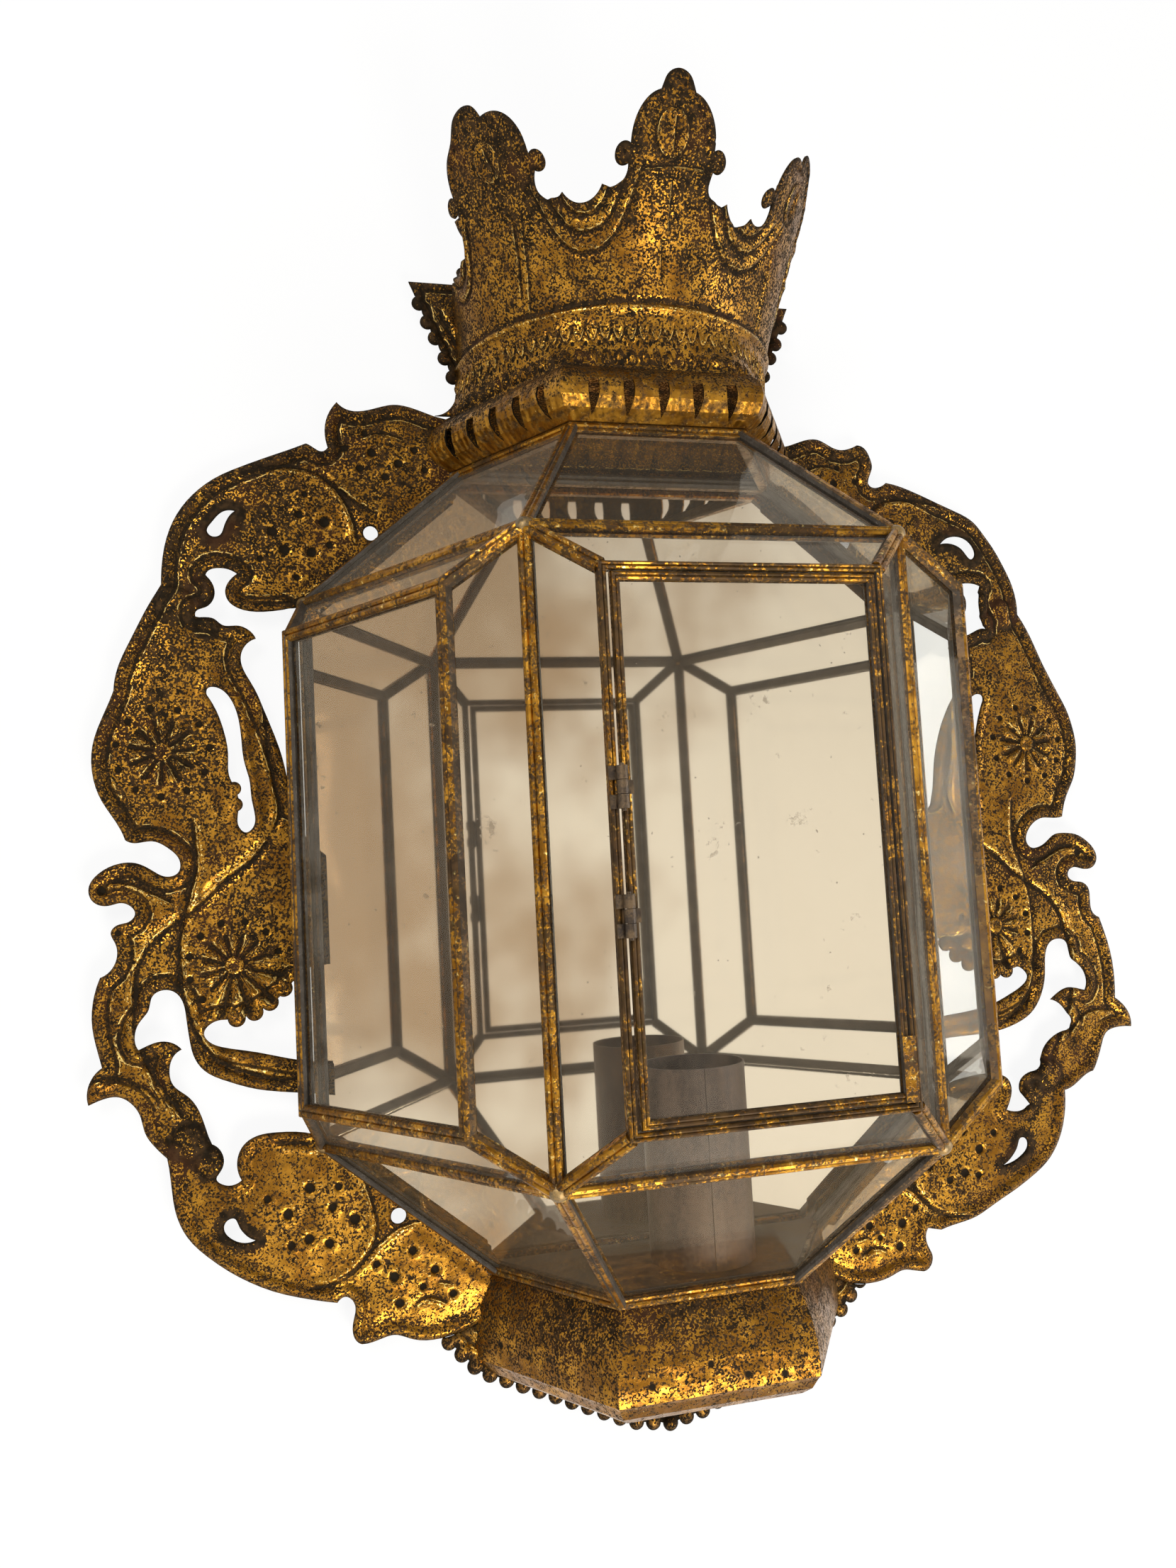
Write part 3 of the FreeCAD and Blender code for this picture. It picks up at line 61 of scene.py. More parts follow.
def add_camera():
    """A camera turned to the right, tilted up and rolled a little."""
    ahead = Vector((math.sin(YAW) * math.cos(PITCH), math.cos(YAW) * math.cos(PITCH), math.sin(PITCH)))
    level = Vector((math.cos(YAW), -math.sin(YAW), 0))
    lift = level.cross(ahead)
    right = level * math.cos(ROLL) + lift * math.sin(ROLL)
    up = lift * math.cos(ROLL) - level * math.sin(ROLL)
    lens = bpy.data.cameras.new("camera")
    lens.lens = FOCAL_LENGTH
    lens.sensor_fit = "VERTICAL"
    lens.sensor_height = SENSOR_HEIGHT
    lens.clip_start = CLIP_START
    camera = bpy.data.objects.new("camera", lens)
    axes = Matrix((right, up, -ahead)).transposed().to_4x4()
    camera.matrix_world = Matrix.Translation(CAMERA_PLACE) @ axes
    bpy.context.scene.collection.objects.link(camera)
    return camera


bpy.context.scene.camera = add_camera()
bpy.context.scene.view_settings.view_transform = "Standard"


# Materials
class Shade:
    """The node tree of a material or of the world, filled one node at a time."""

    def __init__(self, owner):
        self.owner = owner
        owner.use_nodes = True
        self.tree = owner.node_tree
        self.tree.nodes.clear()
        self.coordinates = self.put("TexCoord")
        self.place = self.coordinates["Object"]

    def put(self, kind, inputs=(), **settings):
        """Add a node; each input is a number or another node's output."""
        node = self.tree.nodes.new("ShaderNode" + kind)
        for key, value in settings.items():
            setattr(node, key, value)
        for key, value in dict(inputs).items():
            if isinstance(value, bpy.types.NodeSocket):
                self.tree.links.new(value, node.inputs[key])
            else:
                node.inputs[key].default_value = value
        return node.outputs

    def noise(self, scale, detail, rough, place=None):
        return self.put("TexNoise", {"Vector": place or self.place, "Scale": scale, "Detail": detail,
                                     "Roughness": rough})["Fac"]

    def math(self, operation, one, other=0.0, clamp=False):
        return self.put("Math", {0: one, 1: other}, operation=operation, use_clamp=clamp)[0]

    def total(self, *terms):
        """Sum of values, each times its weight."""
        result = 0.0
        for value, weight in terms:
            result = self.put("Math", {0: value, 1: weight, 2: result}, operation="MULTIPLY_ADD")[0]
        return result

    def step(self, value, low, high, start=0.0, end=1.0):
        """A soft step from start to end while the value goes from low to high."""
        return self.put("MapRange", {"Value": value, "From Min": low, "From Max": high, "To Min": start,
                                     "To Max": end}, interpolation_type="SMOOTHSTEP")[0]

    def mix(self, share, one, other):
        """One colour where the share is 0, the other where it is 1."""
        def colour(value):
            return value if isinstance(value, bpy.types.NodeSocket) else (*value, 1)
        return self.put("Mix", {0: share, 6: colour(one), 7: colour(other)}, data_type="RGBA")[2]

    def outside(self, low, high):
        """Soft step from faces turned towards the lantern's middle to faces turned away from it."""
        away = self.put("VectorMath", {0: self.place, 1: LANTERN_MIDDLE}, operation="SUBTRACT")[0]
        away = self.put("VectorMath", {0: away, 1: (1, 1, 0)}, operation="MULTIPLY")[0]
        away = self.put("VectorMath", {0: away}, operation="NORMALIZE")[0]
        normal = self.coordinates["Normal"]
        facing = self.put("VectorMath", {0: away, 1: normal}, operation="DOT_PRODUCT")["Value"]
        return self.step(facing, low, high)

    def flutes(self):
        """Fine upright grooves round the lantern's axis."""
        x, y, _ = self.put("SeparateXYZ", {0: self.place})
        turn = self.put("Math", {0: x, 1: self.math("MULTIPLY", y, -1.0)}, operation="ARCTAN2")[0]
        return self.math("SINE", self.total((turn, FLUTES), (self.noise(60, 2, 0.5), 5.0)))

    def engraved(self, wander, depth):
        """Dark cut of an engraved line, a painted highlight along its shoulder, and the dark of punched
        marks.
        """
        across = self.put("Attribute", attribute_name="across")["Fac"]
        across = self.total((across, 1.0), (wander, 1.6), (self.noise(700, 1, 0.5), 0.7))
        across = self.math("SUBTRACT", across, 1.15)
        drawn = self.step(self.put("Attribute", attribute_name="drawn")["Fac"], 0.12, 0.34)
        from_line = self.math("ABSOLUTE", across)
        cut = self.math("MULTIPLY", self.step(from_line, 0.48, 0.82, depth, 0.0), drawn)
        # Painted highlight: a thin bright line along the shoulder of each cut
        from_shoulder = self.math("ABSOLUTE", self.math("ADD", across, 1.3))
        lit = self.math("MULTIPLY", self.step(from_shoulder, 0.08, 0.34, 0.75, 0.0), drawn)
        lit = self.math("MULTIPLY", lit, self.step(self.noise(330, 2, 0.5), 0.42, 0.56))
        punched = self.put("Attribute", attribute_name="punched")["Fac"]
        pit = self.step(self.total((punched, 1.0), (wander, 0.5)), 0.2, 0.42)
        return cut, lit, pit

    def near_places(self, places, radius):
        """Dark spots of about that radius (m) round a few places."""
        spots = 0.0
        for place in places:
            away = self.put("VectorMath", {0: self.place, 1: place}, operation="DISTANCE")["Value"]
            spots = self.math("MAXIMUM", spots, self.step(away, 0.7 * radius, 1.2 * radius, 1.0, 0.0))
        return spots

    def bump(self, height, strength, distance):
        return self.put("Bump", {"Height": height, "Strength": strength, "Distance": distance})[0]

    def shader(self, inputs):
        return self.put("BsdfPrincipled", inputs)[0]

    def finish(self, surface, output="OutputMaterial"):
        self.put(output, {"Surface": surface})
        return self.owner


def new_shade(name):
    return Shade(bpy.data.materials.new(name))


LANTERN_MIDDLE = (0, -0.075, 0)
FLUTES = 150.0
GOLD = (0.41, 0.195, 0.02)
AMBER = (0.19, 0.079, 0.007)
# Pale gold of painted glints and highlights
PAINTED_GLINT = (0.86, 0.62, 0.2)
UMBER = (0.011, 0.007, 0.003)
BROWN = (0.042, 0.023, 0.009)
OXIDE = (0.05, 0.018, 0.007)
LEAD = (0.06, 0.05, 0.04)
DULL_LEAD = (0.04, 0.032, 0.024)
# Near black of painted shade on faces turned inwards
INSIDE_SHADE = (0.008, 0.006, 0.004)
FILM = (0.64, 0.57, 0.47)
BROWN_FILM = (0.5, 0.38, 0.24)
SILVER = (0.9, 0.77, 0.6)
# Brown of a painted reflection in the mirror
REFLECTED_ROOM = (0.46, 0.31, 0.18)
FOXED = (0.1, 0.07, 0.045)
FLY_SPOT = (0.12, 0.09, 0.06)
WEAR_MIDDLE = 1.525
WEAR_SOFTNESS = 0.07
HOLE_RADIUS = 0.0016


def worn_leaf(s, broad, cluster, amber):
    """Gold leaf: amber in patches, a little brown in small clouds."""
    patches = s.step(s.total((s.noise(90, 3, 0.6), 0.7), (broad, 0.4)), 0.42 + amber, 0.66 + amber)
    clouds = s.step(s.total((s.noise(420, 2, 0.5), 0.6), (cluster, 0.6)), 0.56, 0.78, 0.0, 0.6)
    return s.mix(clouds, s.mix(patches, AMBER, GOLD), BROWN)


def dark_ground(s):
    """What shows where the leaf is gone: umber to brown, with some oxide."""
    ground = s.mix(s.step(s.noise(260, 3, 0.6), 0.38, 0.66), UMBER, BROWN)
    return s.mix(s.step(s.noise(45, 2, 0.5), 0.52, 0.7, 0.0, 0.5), ground, OXIDE)


def gilt(name, middle=0.0, shade_climb=0.0, share=0.5, flutes=False, shaded_inside=False, holes=(), dents=0.0,
         depth=0.9, amber=0.0):
    """Old gilding on embossed sheet: leaf worn through to its dark ground in specks and grooves, with
    painted glints.

    About that share of it is dark at the middle height (m), and more above it at the given rate per
    metre: painted shade, darker upwards.
    The leaf is deeper in colour with more amber.
    """
    s = new_shade(name)
    relief = s.put("Attribute", attribute_name="relief")["Fac"]
    edge = s.put("Attribute", attribute_name="edge")["Fac"]
    speck = s.noise(980, 2.0, 0.55)
    cluster = s.noise(230, 3, 0.6)
    broad = s.noise(24, 2.5, 0.55)
    worn = s.total((speck, 1.9), (cluster, 0.6), (broad, 0.55), (relief, -0.4))
    # Painted shade and light: darker upwards, so lower parts look lit
    if shade_climb:
        height = s.put("SeparateXYZ", {0: s.place})[2]
        worn = s.total((worn, 1.0), (height, shade_climb))
    limit = WEAR_MIDDLE + shade_climb * middle - (share - 0.5) * 0.5
    dark = s.step(worn, limit - WEAR_SOFTNESS, limit + WEAR_SOFTNESS)
    cut, lit, pit = s.engraved(cluster, depth)
    if holes:
        pit = s.near_places(holes, HOLE_RADIUS)
    sunk = s.math("MAXIMUM", cut, pit)
    # Painted glints: pale gold on ridges and in small flecks, and on the engraved shoulders
    painted_glint = s.step(s.total((relief, 0.45), (s.noise(1100, 2, 0.5), 1.0)), 0.68, 0.8)
    leaf = s.mix(s.math("MAXIMUM", painted_glint, lit), worn_leaf(s, broad, cluster, amber), PAINTED_GLINT)
    ground = dark_ground(s)
    cover = s.math("MULTIPLY", dark, s.math("SUBTRACT", 1.0, lit))
    # Cut edges are dark, and so is the sheet behind the lantern, where it is painted shade
    cover = s.math("MAXIMUM", cover, s.math("MAXIMUM", sunk, s.math("MULTIPLY", edge, 0.8)), True)
    # Painted shade: faces turned towards the lantern's middle are darkened
    if shaded_inside:
        inner_shade = s.math("SUBTRACT", 1.0, s.outside(-0.1, 0.12))
        cover = s.math("MAXIMUM", cover, inner_shade, True)
        ground = s.mix(inner_shade, ground, INSIDE_SHADE)
    ground = s.mix(s.math("MAXIMUM", edge, sunk), ground, UMBER)
    grain = s.total((cover, -1.0), (cluster, 1.2), (lit, 1.6), (sunk, -1.6))
    if flutes:
        grain = s.total((grain, 1.0), (s.flutes(), 0.5))
    if dents:
        grain = s.total((grain, 1.0), (s.noise(70, 2, 0.5), dents))
    rough = s.total((cover, 0.36), (cluster, 0.3))
    return s.finish(s.shader({
        "Base Color": s.mix(cover, leaf, ground),
        "Metallic": s.step(cover, 0, 1, 0.94, 0.05),
        "Specular IOR Level": s.step(cover, 0, 1, 0.5, 0.07),
        "Roughness": s.step(rough, 0.0, 0.6, 0.26, 0.7),
        "Normal": s.bump(grain, 0.5, 0.00035)}))


def came(name, dullness=0.0):
    """Came bar: gilded beads outside, grey lead towards the lantern's inside."""
    s = new_shade(name)
    outside = s.outside(-0.15, 0.25)
    speck = s.noise(720, 2.0, 0.55)
    cluster = s.noise(130, 3, 0.6)
    broad = s.noise(22, 2, 0.5)
    worn = s.total((speck, 1.2), (cluster, 1.0), (broad, 0.9))
    dark = s.step(worn, 1.42 - dullness, 1.72 - dullness, 0.0, 0.9)
    leaf = s.mix(s.step(s.noise(110, 3, 0.6), 0.4, 0.62), AMBER, GOLD)
    # Painted glints: pale flecks on the gilded beads
    leaf = s.mix(s.step(s.noise(420, 2, 0.5), 0.62, 0.78), leaf, PAINTED_GLINT)
    ground = s.mix(s.step(s.noise(200, 2, 0.5), 0.4, 0.6), UMBER, BROWN)
    lead = s.mix(s.step(cluster, 0.4, 0.62), LEAD, DULL_LEAD)
    gilded = s.step(s.total((outside, 1.0), (dark, -0.9)), 0, 1)
    return s.finish(s.shader({
        "Base Color": s.mix(outside, lead, s.mix(dark, leaf, ground)),
        "Metallic": s.step(gilded, 0, 1, 0.15, 0.92),
        "Specular IOR Level": s.step(gilded, 0, 1, 0.2, 0.5),
        "Roughness": s.step(s.total((cluster, 0.6), (dark, 0.4)), 0.2, 0.8, 0.3, 0.62),
        "Normal": s.bump(s.total((dark, -0.8), (cluster, 1.0)), 0.5, 0.0004)}))


def plain_metal(name, colour, other, rough, metallic, scale, streak=1.0):
    """Dull sheet with stains; a streak below 1 stretches them up and down."""
    s = new_shade(name)
    stretched = s.put("Mapping", {"Vector": s.place, "Scale": (1, 1, streak)})[0]
    stain = s.noise(scale, 4, 0.6, stretched)
    grain = s.noise(scale * 8, 2, 0.55)
    shade = s.mix(s.step(s.total((stain, 0.8), (grain, 0.3)), 0.42, 0.68), colour, other)
    return s.finish(s.shader({
        "Base Color": shade, "Metallic": metallic,
        "Roughness": s.step(stain, 0.3, 0.7, rough - 0.08, rough + 0.12),
        "Normal": s.bump(s.total((stain, 1.0), (grain, 0.3)), 0.4, 0.0006)}))


def glass(name, haze, film_colour):
    """Old window glass: clear, with a thin film of dust and reflections that grow at grazing angles."""
    s = new_shade(name)
    film = s.total((s.noise(24, 4, 0.65), 0.8), (s.noise(700, 2, 0.6), 0.3))
    ripple = s.bump(s.noise(14, 2, 0.5), 0.2, 0.003)
    grazing = s.put("LayerWeight", {"Blend": 0.5, "Normal": ripple})["Facing"]
    cover = s.total((s.math("POWER", grazing, 5.0), 0.8), (s.step(film, 0.42, 0.8), haze))
    cover = s.math("ADD", cover, haze, True)
    clear = s.put("BsdfTransparent", {"Color": (0.965, 0.965, 0.95, 1)})[0]
    surface = s.shader({"Base Color": (*film_colour, 1), "Roughness": 0.03, "Metallic": 0.7,
                        "Normal": ripple})
    return s.finish(s.put("MixShader", {0: cover, 1: clear, 2: surface})[0])


def mirror(name):
    """Silvered glass gone warm, with a painted brown reflection to the left and the top, and with foxing
    and fly spots.
    """
    s = new_shade(name)
    across, _, height = s.put("SeparateXYZ", {0: s.place})
    cloud = s.noise(9, 3, 0.55)
    fox = s.step(s.total((s.noise(240, 3, 0.65), 0.7), (s.noise(35, 3, 0.6), 0.8)), 0.92, 1.05)
    # Painted reflection: browner towards the left and the top
    room_reflection = s.step(s.total((height, 1.2), (cloud, 1.2), (across, -2.4)), 0.52, 0.92)
    tint = s.mix(room_reflection, SILVER, REFLECTED_ROOM)
    tint = s.mix(s.math("MULTIPLY", fox, 0.5), tint, FOXED)
    tint = s.mix(s.step(s.noise(330, 1, 0.5), 0.74, 0.8, 0.0, 0.55), tint, FLY_SPOT)
    return s.finish(s.shader({
        "Base Color": tint,
        "Metallic": s.step(fox, 0, 1, 0.96, 0.5),
        "Roughness": s.step(s.total((fox, 0.3), (cloud, 0.1)), 0.0, 0.5, 0.03, 0.3)}))


# Small holes punched through the pan: places in mm
PAN_HOLES = [(-15.5, -86, -205), (0, -86.5, -209.6), (12.1, -86, -204.7), (-31.1, -87.5, -226),
             (29.2, -87.5, -229.6), (12.1, -87.5, -227.3), (-4.3, -87.2, -220.7), (-74.2, -38.2, -201.3),
             (-68.6, -47.9, -207.6), (-84.2, -23.2, -223.3)]
# A gilt's second number makes it darker upwards: painted shade
GILT = gilt("gilt", 0.05, 0.4, 0.55)
CROWN_GILT = gilt("crown_gilt", 0.28, 2.2, 0.59, depth=0.75)
LOOKS = {
    "gilt_sheet": GILT,
    "came": came("came"),
    "glass": glass("glass", 0.02, FILM),
    "mirror": mirror("mirror"),
    "tin": plain_metal("tin", (0.042, 0.024, 0.014), (0.1, 0.062, 0.038), 0.5, 0.3, 60, 0.3),
    "dark_iron": plain_metal("dark_iron", (0.035, 0.024, 0.016), (0.11, 0.07, 0.035), 0.42, 0.6, 160),
    "solder": plain_metal("solder", (0.12, 0.09, 0.05), (0.3, 0.19, 0.07), 0.4, 0.7, 200),
}
DOOR_BARS = came("door_came", 0.16)
BASE_GLASS = glass("base_glass", 0.008, BROWN_FILM)
# Nodes with a look of their own, apart from their slot's
OWN_LOOKS = {
    # The collar: painted shade darkens its upper part and its faces turned inwards, so its lower part
    # looks lit
    "vent_collar": gilt("collar_gilt", 0.209, 24.0, 0.22, flutes=True, shaded_inside=True),
    # The pan: painted shade darker upwards, and its leaf a deeper amber as painted shade
    "bottom_pan": gilt("pan_gilt", -0.222, 5.0, 0.43, dents=9.0, amber=0.05,
                       holes=[[c * MM for c in place] for place in PAN_HOLES]),
    "door_frame": DOOR_BARS,
    "door_jamb": DOOR_BARS,
    "base_pane_left": BASE_GLASS,
    "base_pane_front": BASE_GLASS,
    "base_pane_right": BASE_GLASS,
    "floor_plate": plain_metal("floor_tin", (0.028, 0.013, 0.004), (0.07, 0.04, 0.016), 0.6, 0.15, 60),
}


# Relief
FAR = 1e9
# Distance from an engraved line, counted in its half widths, at which nothing of it shows
UNDRAWN = 4.0


def nearest(points, line):
    """Distance of each point to a line, which side of it the point is on, and how far along."""
    best = np.full(len(points), FAR)
    side = np.zeros(len(points))
    along = np.zeros(len(points))
    run = 0.0
    for (ax, az), (bx, bz) in zip(line[:-1], line[1:]):
        dx, dz = bx - ax, bz - az
        length = math.hypot(dx, dz)
        if length < 1e-9:
            continue
        px, pz = points[:, 0] - ax, points[:, 1] - az
        share = np.clip((px * dx + pz * dz) / length ** 2, 0, 1)
        gap = np.hypot(px - share * dx, pz - share * dz)
        closer = gap < best
        best = np.where(closer, gap, best)
        side = np.where(closer, np.sign(dx * pz - dz * px), side)
        along = np.where(closer, run + share * length, along)
        run += length
    return best, side, along


def hump(value, middle, width):
    """1 in the middle and next to nothing two widths away."""
    return np.exp(-((value - middle) / width) ** 2)


def curve(points, step=1.2):
    """A smooth line through a few places, as points about one step apart."""
    p = np.array(points, float)
    p = np.vstack([2 * p[0] - p[1], p, 2 * p[-1] - p[-2]])
    out = []
    for a, b, c, d in zip(p[:-3], p[1:-2], p[2:-1], p[3:]):
        count = max(2, int(np.hypot(*(c - b)) / step))
        for t in np.arange(count) / count:
            out.append(0.5 * (2 * b + (c - a) * t + (2 * a - 5 * b + 4 * c - d) * t * t
                              + (3 * b - a - 3 * c + d) * t ** 3))
    out.append(p[-2])
    return np.array(out)


def soft(value, low, high):
    """A soft step from 0 to 1 while the value goes from low to high."""
    t = np.clip((value - low) / (high - low), 0, 1)
    return t * t * (3 - 2 * t)


class Relief:
    """Height in mm of an embossed sheet over flat coordinates in mm, and how worn or dark it is; its
    raised tone also gives painted glints.
    """

    def __init__(self, points):
        count = len(points)
        self.points = points
        self.height = np.zeros(count)
        self.tone = np.zeros(count)
        self.edge = np.zeros(count)
        self.across = np.full(count, UNDRAWN)
        self.drawn = np.zeros(count)
        self.punched = np.full(count, -1.0)

    def near(self, low, high, margin):
        """The points within a margin of a box."""
        x, z = self.points.T
        return np.nonzero((x > low[0] - margin) & (x < high[0] + margin)
                          & (z > low[1] - margin) & (z < high[1] + margin))[0]

    def round_place(self, x, z, reach):
        """The points near a place, and their distances from it."""
        chosen = self.near((x, z), (x, z), reach)
        return chosen, np.hypot(*(self.points[chosen] - (x, z)).T)

    def draw(self, chosen, across, strength):
        """Keep the place of the nearest engraved line, counted across it in its own half widths."""
        across = np.clip(across, -UNDRAWN, UNDRAWN)
        strength = strength * (1 - soft(np.abs(across), 1.8, 3.2))
        nearer = np.abs(across) < np.abs(self.across[chosen])
        self.across[chosen[nearer]] = across[nearer]
        self.drawn[chosen[nearer]] = strength[nearer]

    def border(self, gap, width=5.0, rise=1.3, line=1.0):
        """A rolled edge: a raised bead, then a dark groove, by the distance from the outline."""
        bead = hump(gap, 0.42 * width, 0.3 * width)
        groove = hump(gap, width, 0.22 * width)
        swell = soft(gap, width, 2.6 * width)
        self.height += rise * bead - 0.45 * rise * groove + 0.4 * rise * swell
        self.tone += -0.25 * bead - 0.3 * groove
        self.edge = np.maximum(self.edge, 1 - soft(gap, 0.1, 1.4))
        self.draw(np.arange(len(gap)), width - gap, line * np.ones(len(gap)))

    def stroke(self, places, ridge=1.0, groove=0.8, width=1.5, side=1, taper=True):
        """A raised line with a dark groove along one of its sides."""
        line = curve(places)
        chosen = self.near(line.min(0), line.max(0), 5 * width)
        if not len(chosen):
            return
        gap, hand, along = nearest(self.points[chosen], line)
        length = np.hypot(*np.diff(line, axis=0).T).sum()
        ends = soft(np.minimum(along, length - along), -0.5 * width, 4 * width) if taper else 1.0
        signed = gap * hand * side
        raised = hump(signed, 0, width) * ends
        sunk = hump(signed, 1.9 * width, 0.8 * width) * ends
        self.height[chosen] += ridge * raised - groove * sunk
        self.tone[chosen] += 0.6 * min(ridge, 1) * raised - 0.5 * min(groove, 1) * sunk
        self.draw(chosen, signed / (0.62 * width) - 2.6, min(groove, 1) * ends * np.ones(len(chosen)))

    def dimple(self, x, z, radius=2.4, depth=1.1):
        """A punched mark with a slight lip."""
        chosen, away = self.round_place(x, z, 2.6 * radius)
        r = away / radius
        self.height[chosen] -= depth * np.exp(-(r * 1.15) ** 4) - 0.3 * depth * hump(r, 1.45, 0.4)
        self.tone[chosen] += 0.35 * hump(r, 1.45, 0.35)
        self.punched[chosen] = np.maximum(self.punched[chosen], 0.95 - r)

    def boss(self, x, z, radius=8.0, height=3.0):
        """A round dome in a dark ring."""
        chosen, away = self.round_place(x, z, 1.6 * radius)
        r = away / radius
        dome = np.sqrt(np.clip(1 - r * r, 0, 1))
        ring = hump(r, 1.02, 0.16)
        self.height[chosen] += height * dome - 0.4 * ring
        self.tone[chosen] += 0.15 * hump(r, 0, 0.5) - 0.8 * ring - 0.35 * (r < 1)

    def rosette(self, x, z, petals=11, radius=15.0, dots=20.5, turn=0.0, shell=None):
        """Narrow leaves round a small boss, with a ring of punched dots outside them.

        A shell is a direction and the leaves' greater radius there; no dots lie outside those leaves.
        """
        chosen, r = self.round_place(x, z, dots + 5)
        local = self.points[chosen] - (x, z)
        angle = np.arctan2(local[:, 1], local[:, 0]) + turn
        phase = (angle * petals / (2 * math.pi)) % 1 - 0.5
        reach = np.full(len(r), radius)
        if shell:
            toward = np.cos(angle - turn - shell[0])
            reach = radius + (shell[1] - radius) * soft(toward, 0.2, 0.6)
        across = np.abs(phase) * 2 * math.pi / petals * r
        body = soft(r, 3.8, 5.5) * (1 - soft(r, reach - 2.5, reach + 1))
        groove = hump(across, 0, 0.55 + 0.07 * r) * body
        ridge = np.exp(-((across - 1.9 - 0.1 * r) / 0.9) ** 2) * body
        self.height[chosen] += 0.9 * body - 1.7 * groove + 0.5 * ridge
        self.tone[chosen] += 0.5 * ridge - 0.4 * groove
        self.draw(chosen, phase * 2 * math.pi / petals * r / (0.6 + 0.05 * r), body)
        hub = hump(r, 3.2, 0.8)
        pit = np.exp(-(r / 1.4) ** 4)
        self.height[chosen] += 1.4 * hub + 0.9 * np.exp(-(r / 3) ** 4) - 0.3 * pit
        self.tone[chosen] += 0.6 * hub - 0.5 * pit - 0.7 * hump(r, 4.9, 0.6)
        for i in range(petals):
            way = 2 * math.pi * (i + 0.5) / petals - turn
            if shell and math.cos(way - shell[0]) > 0.35:
                continue
            self.dimple(x + dots * math.cos(way), z + dots * math.sin(way), 1.9, 1.0)


def chained_loops(edges, places):
    """Boundary edges chained into closed loops of places."""
    neighbours = {}
    for a, b in edges:
        neighbours.setdefault(a, []).append(b)
        neighbours.setdefault(b, []).append(a)
    left = {tuple(sorted(edge)) for edge in edges}
    loops = []
    while left:
        first, at = min(left)
        left.discard((first, at))
        loop = [first, at]
        while at != first:
            ways = [n for n in neighbours[at] if tuple(sorted((at, n))) in left]
            if not ways:
                break
            left.discard(tuple(sorted((at, ways[0]))))
            at = ways[0]
            loop.append(at)
        loops.append(np.array([places[i] for i in loop]))
    return loops


def boundary(node, belongs, flat):
    """Outline loops, in mm, of the faces of a node that a test picks, laid flat by a mapping."""
    mesh = NODES[node].data
    keys, places = {}, []

    def key(vertex):
        tag = tuple(round(c * 1e6) for c in mesh.vertices[vertex].co)
        if tag not in keys:
            keys[tag] = len(places)
            places.append(flat(mesh.vertices[vertex].co / MM))
        return keys[tag]

    count = {}
    for polygon in mesh.polygons:
        if belongs(polygon, mesh):
            corners = [key(v) for v in polygon.vertices]
            for a, b in zip(corners, corners[1:] + corners[:1]):
                if a != b:
                    edge = (min(a, b), max(a, b))
                    count[edge] = count.get(edge, 0) + 1
    return chained_loops([edge for edge, times in count.items() if times == 1], places)


def resample(loop, step):
    """A closed loop with points at most one step apart, its own corners kept."""
    out = []
    for a, b in zip(loop[:-1], loop[1:]):
        count = max(1, math.ceil(np.hypot(*(b - a)) / step))
        out += [a + (b - a) * (i / count) for i in range(count)]
    return np.array(out)


def within(points, loops):
    """Whether each point lies inside the outline, by crossings."""
    inside = np.zeros(len(points), bool)
    x, z = points.T
    for loop in loops:
        for (ax, az), (bx, bz) in zip(loop[:-1], loop[1:]):
            if az == bz:
                continue
            crosses = (az > z) != (bz > z)
            inside ^= crosses & (x < ax + (z - az) * (bx - ax) / (bz - az))
    return inside


# Rows of near enough equal-sided triangles, as a share of their side
ROW_SPACING = 0.87


def web(loops, spacing):
    """Points and triangles over the inside of the loops."""
    rims = [resample(loop, spacing) for loop in loops if len(loop) > 3]
    low = np.min([rim.min(0) for rim in rims], 0)
    high = np.max([rim.max(0) for rim in rims], 0)
    rows = np.arange(low[1], high[1], spacing * ROW_SPACING)
    grid = []
    for i, z in enumerate(rows):
        x = np.arange(low[0] + (i % 2) * spacing / 2, high[0], spacing)
        grid.append(np.stack([x, np.full(len(x), z)], 1))
    grid = np.vstack(grid)
    grid = grid[within(grid, loops)]
    gap = np.full(len(grid), FAR)
    for loop in loops:
        gap = np.minimum(gap, nearest(grid, loop)[0])
    grid = grid[gap > 0.6 * spacing]
    points, edges = [], []
    for rim in rims:
        first = len(points)
        points += [tuple(p) for p in rim]
        edges += [(first + i, first + (i + 1) % len(rim)) for i in range(len(rim))]
    points += [tuple(p) for p in grid]
    verts, _, faces, *_ = geometry.delaunay_2d_cdt([Vector(p) for p in points], edges, [], 0, 1e-4)
    flat = np.array([tuple(v) for v in verts])
    triangles = np.array([tuple(f) for f in faces if len(f) == 3])
    middles = flat[triangles].mean(1)
    triangles = triangles[within(middles, loops)]
    return flat, triangles


def rim_edges(triangles):
    """Directed edges that only one triangle has."""
    seen = {}
    for a, b, c in triangles:
        for edge in ((a, b), (b, c), (c, a)):
            seen[edge] = True
    return [edge for edge in seen if (edge[1], edge[0]) not in seen]


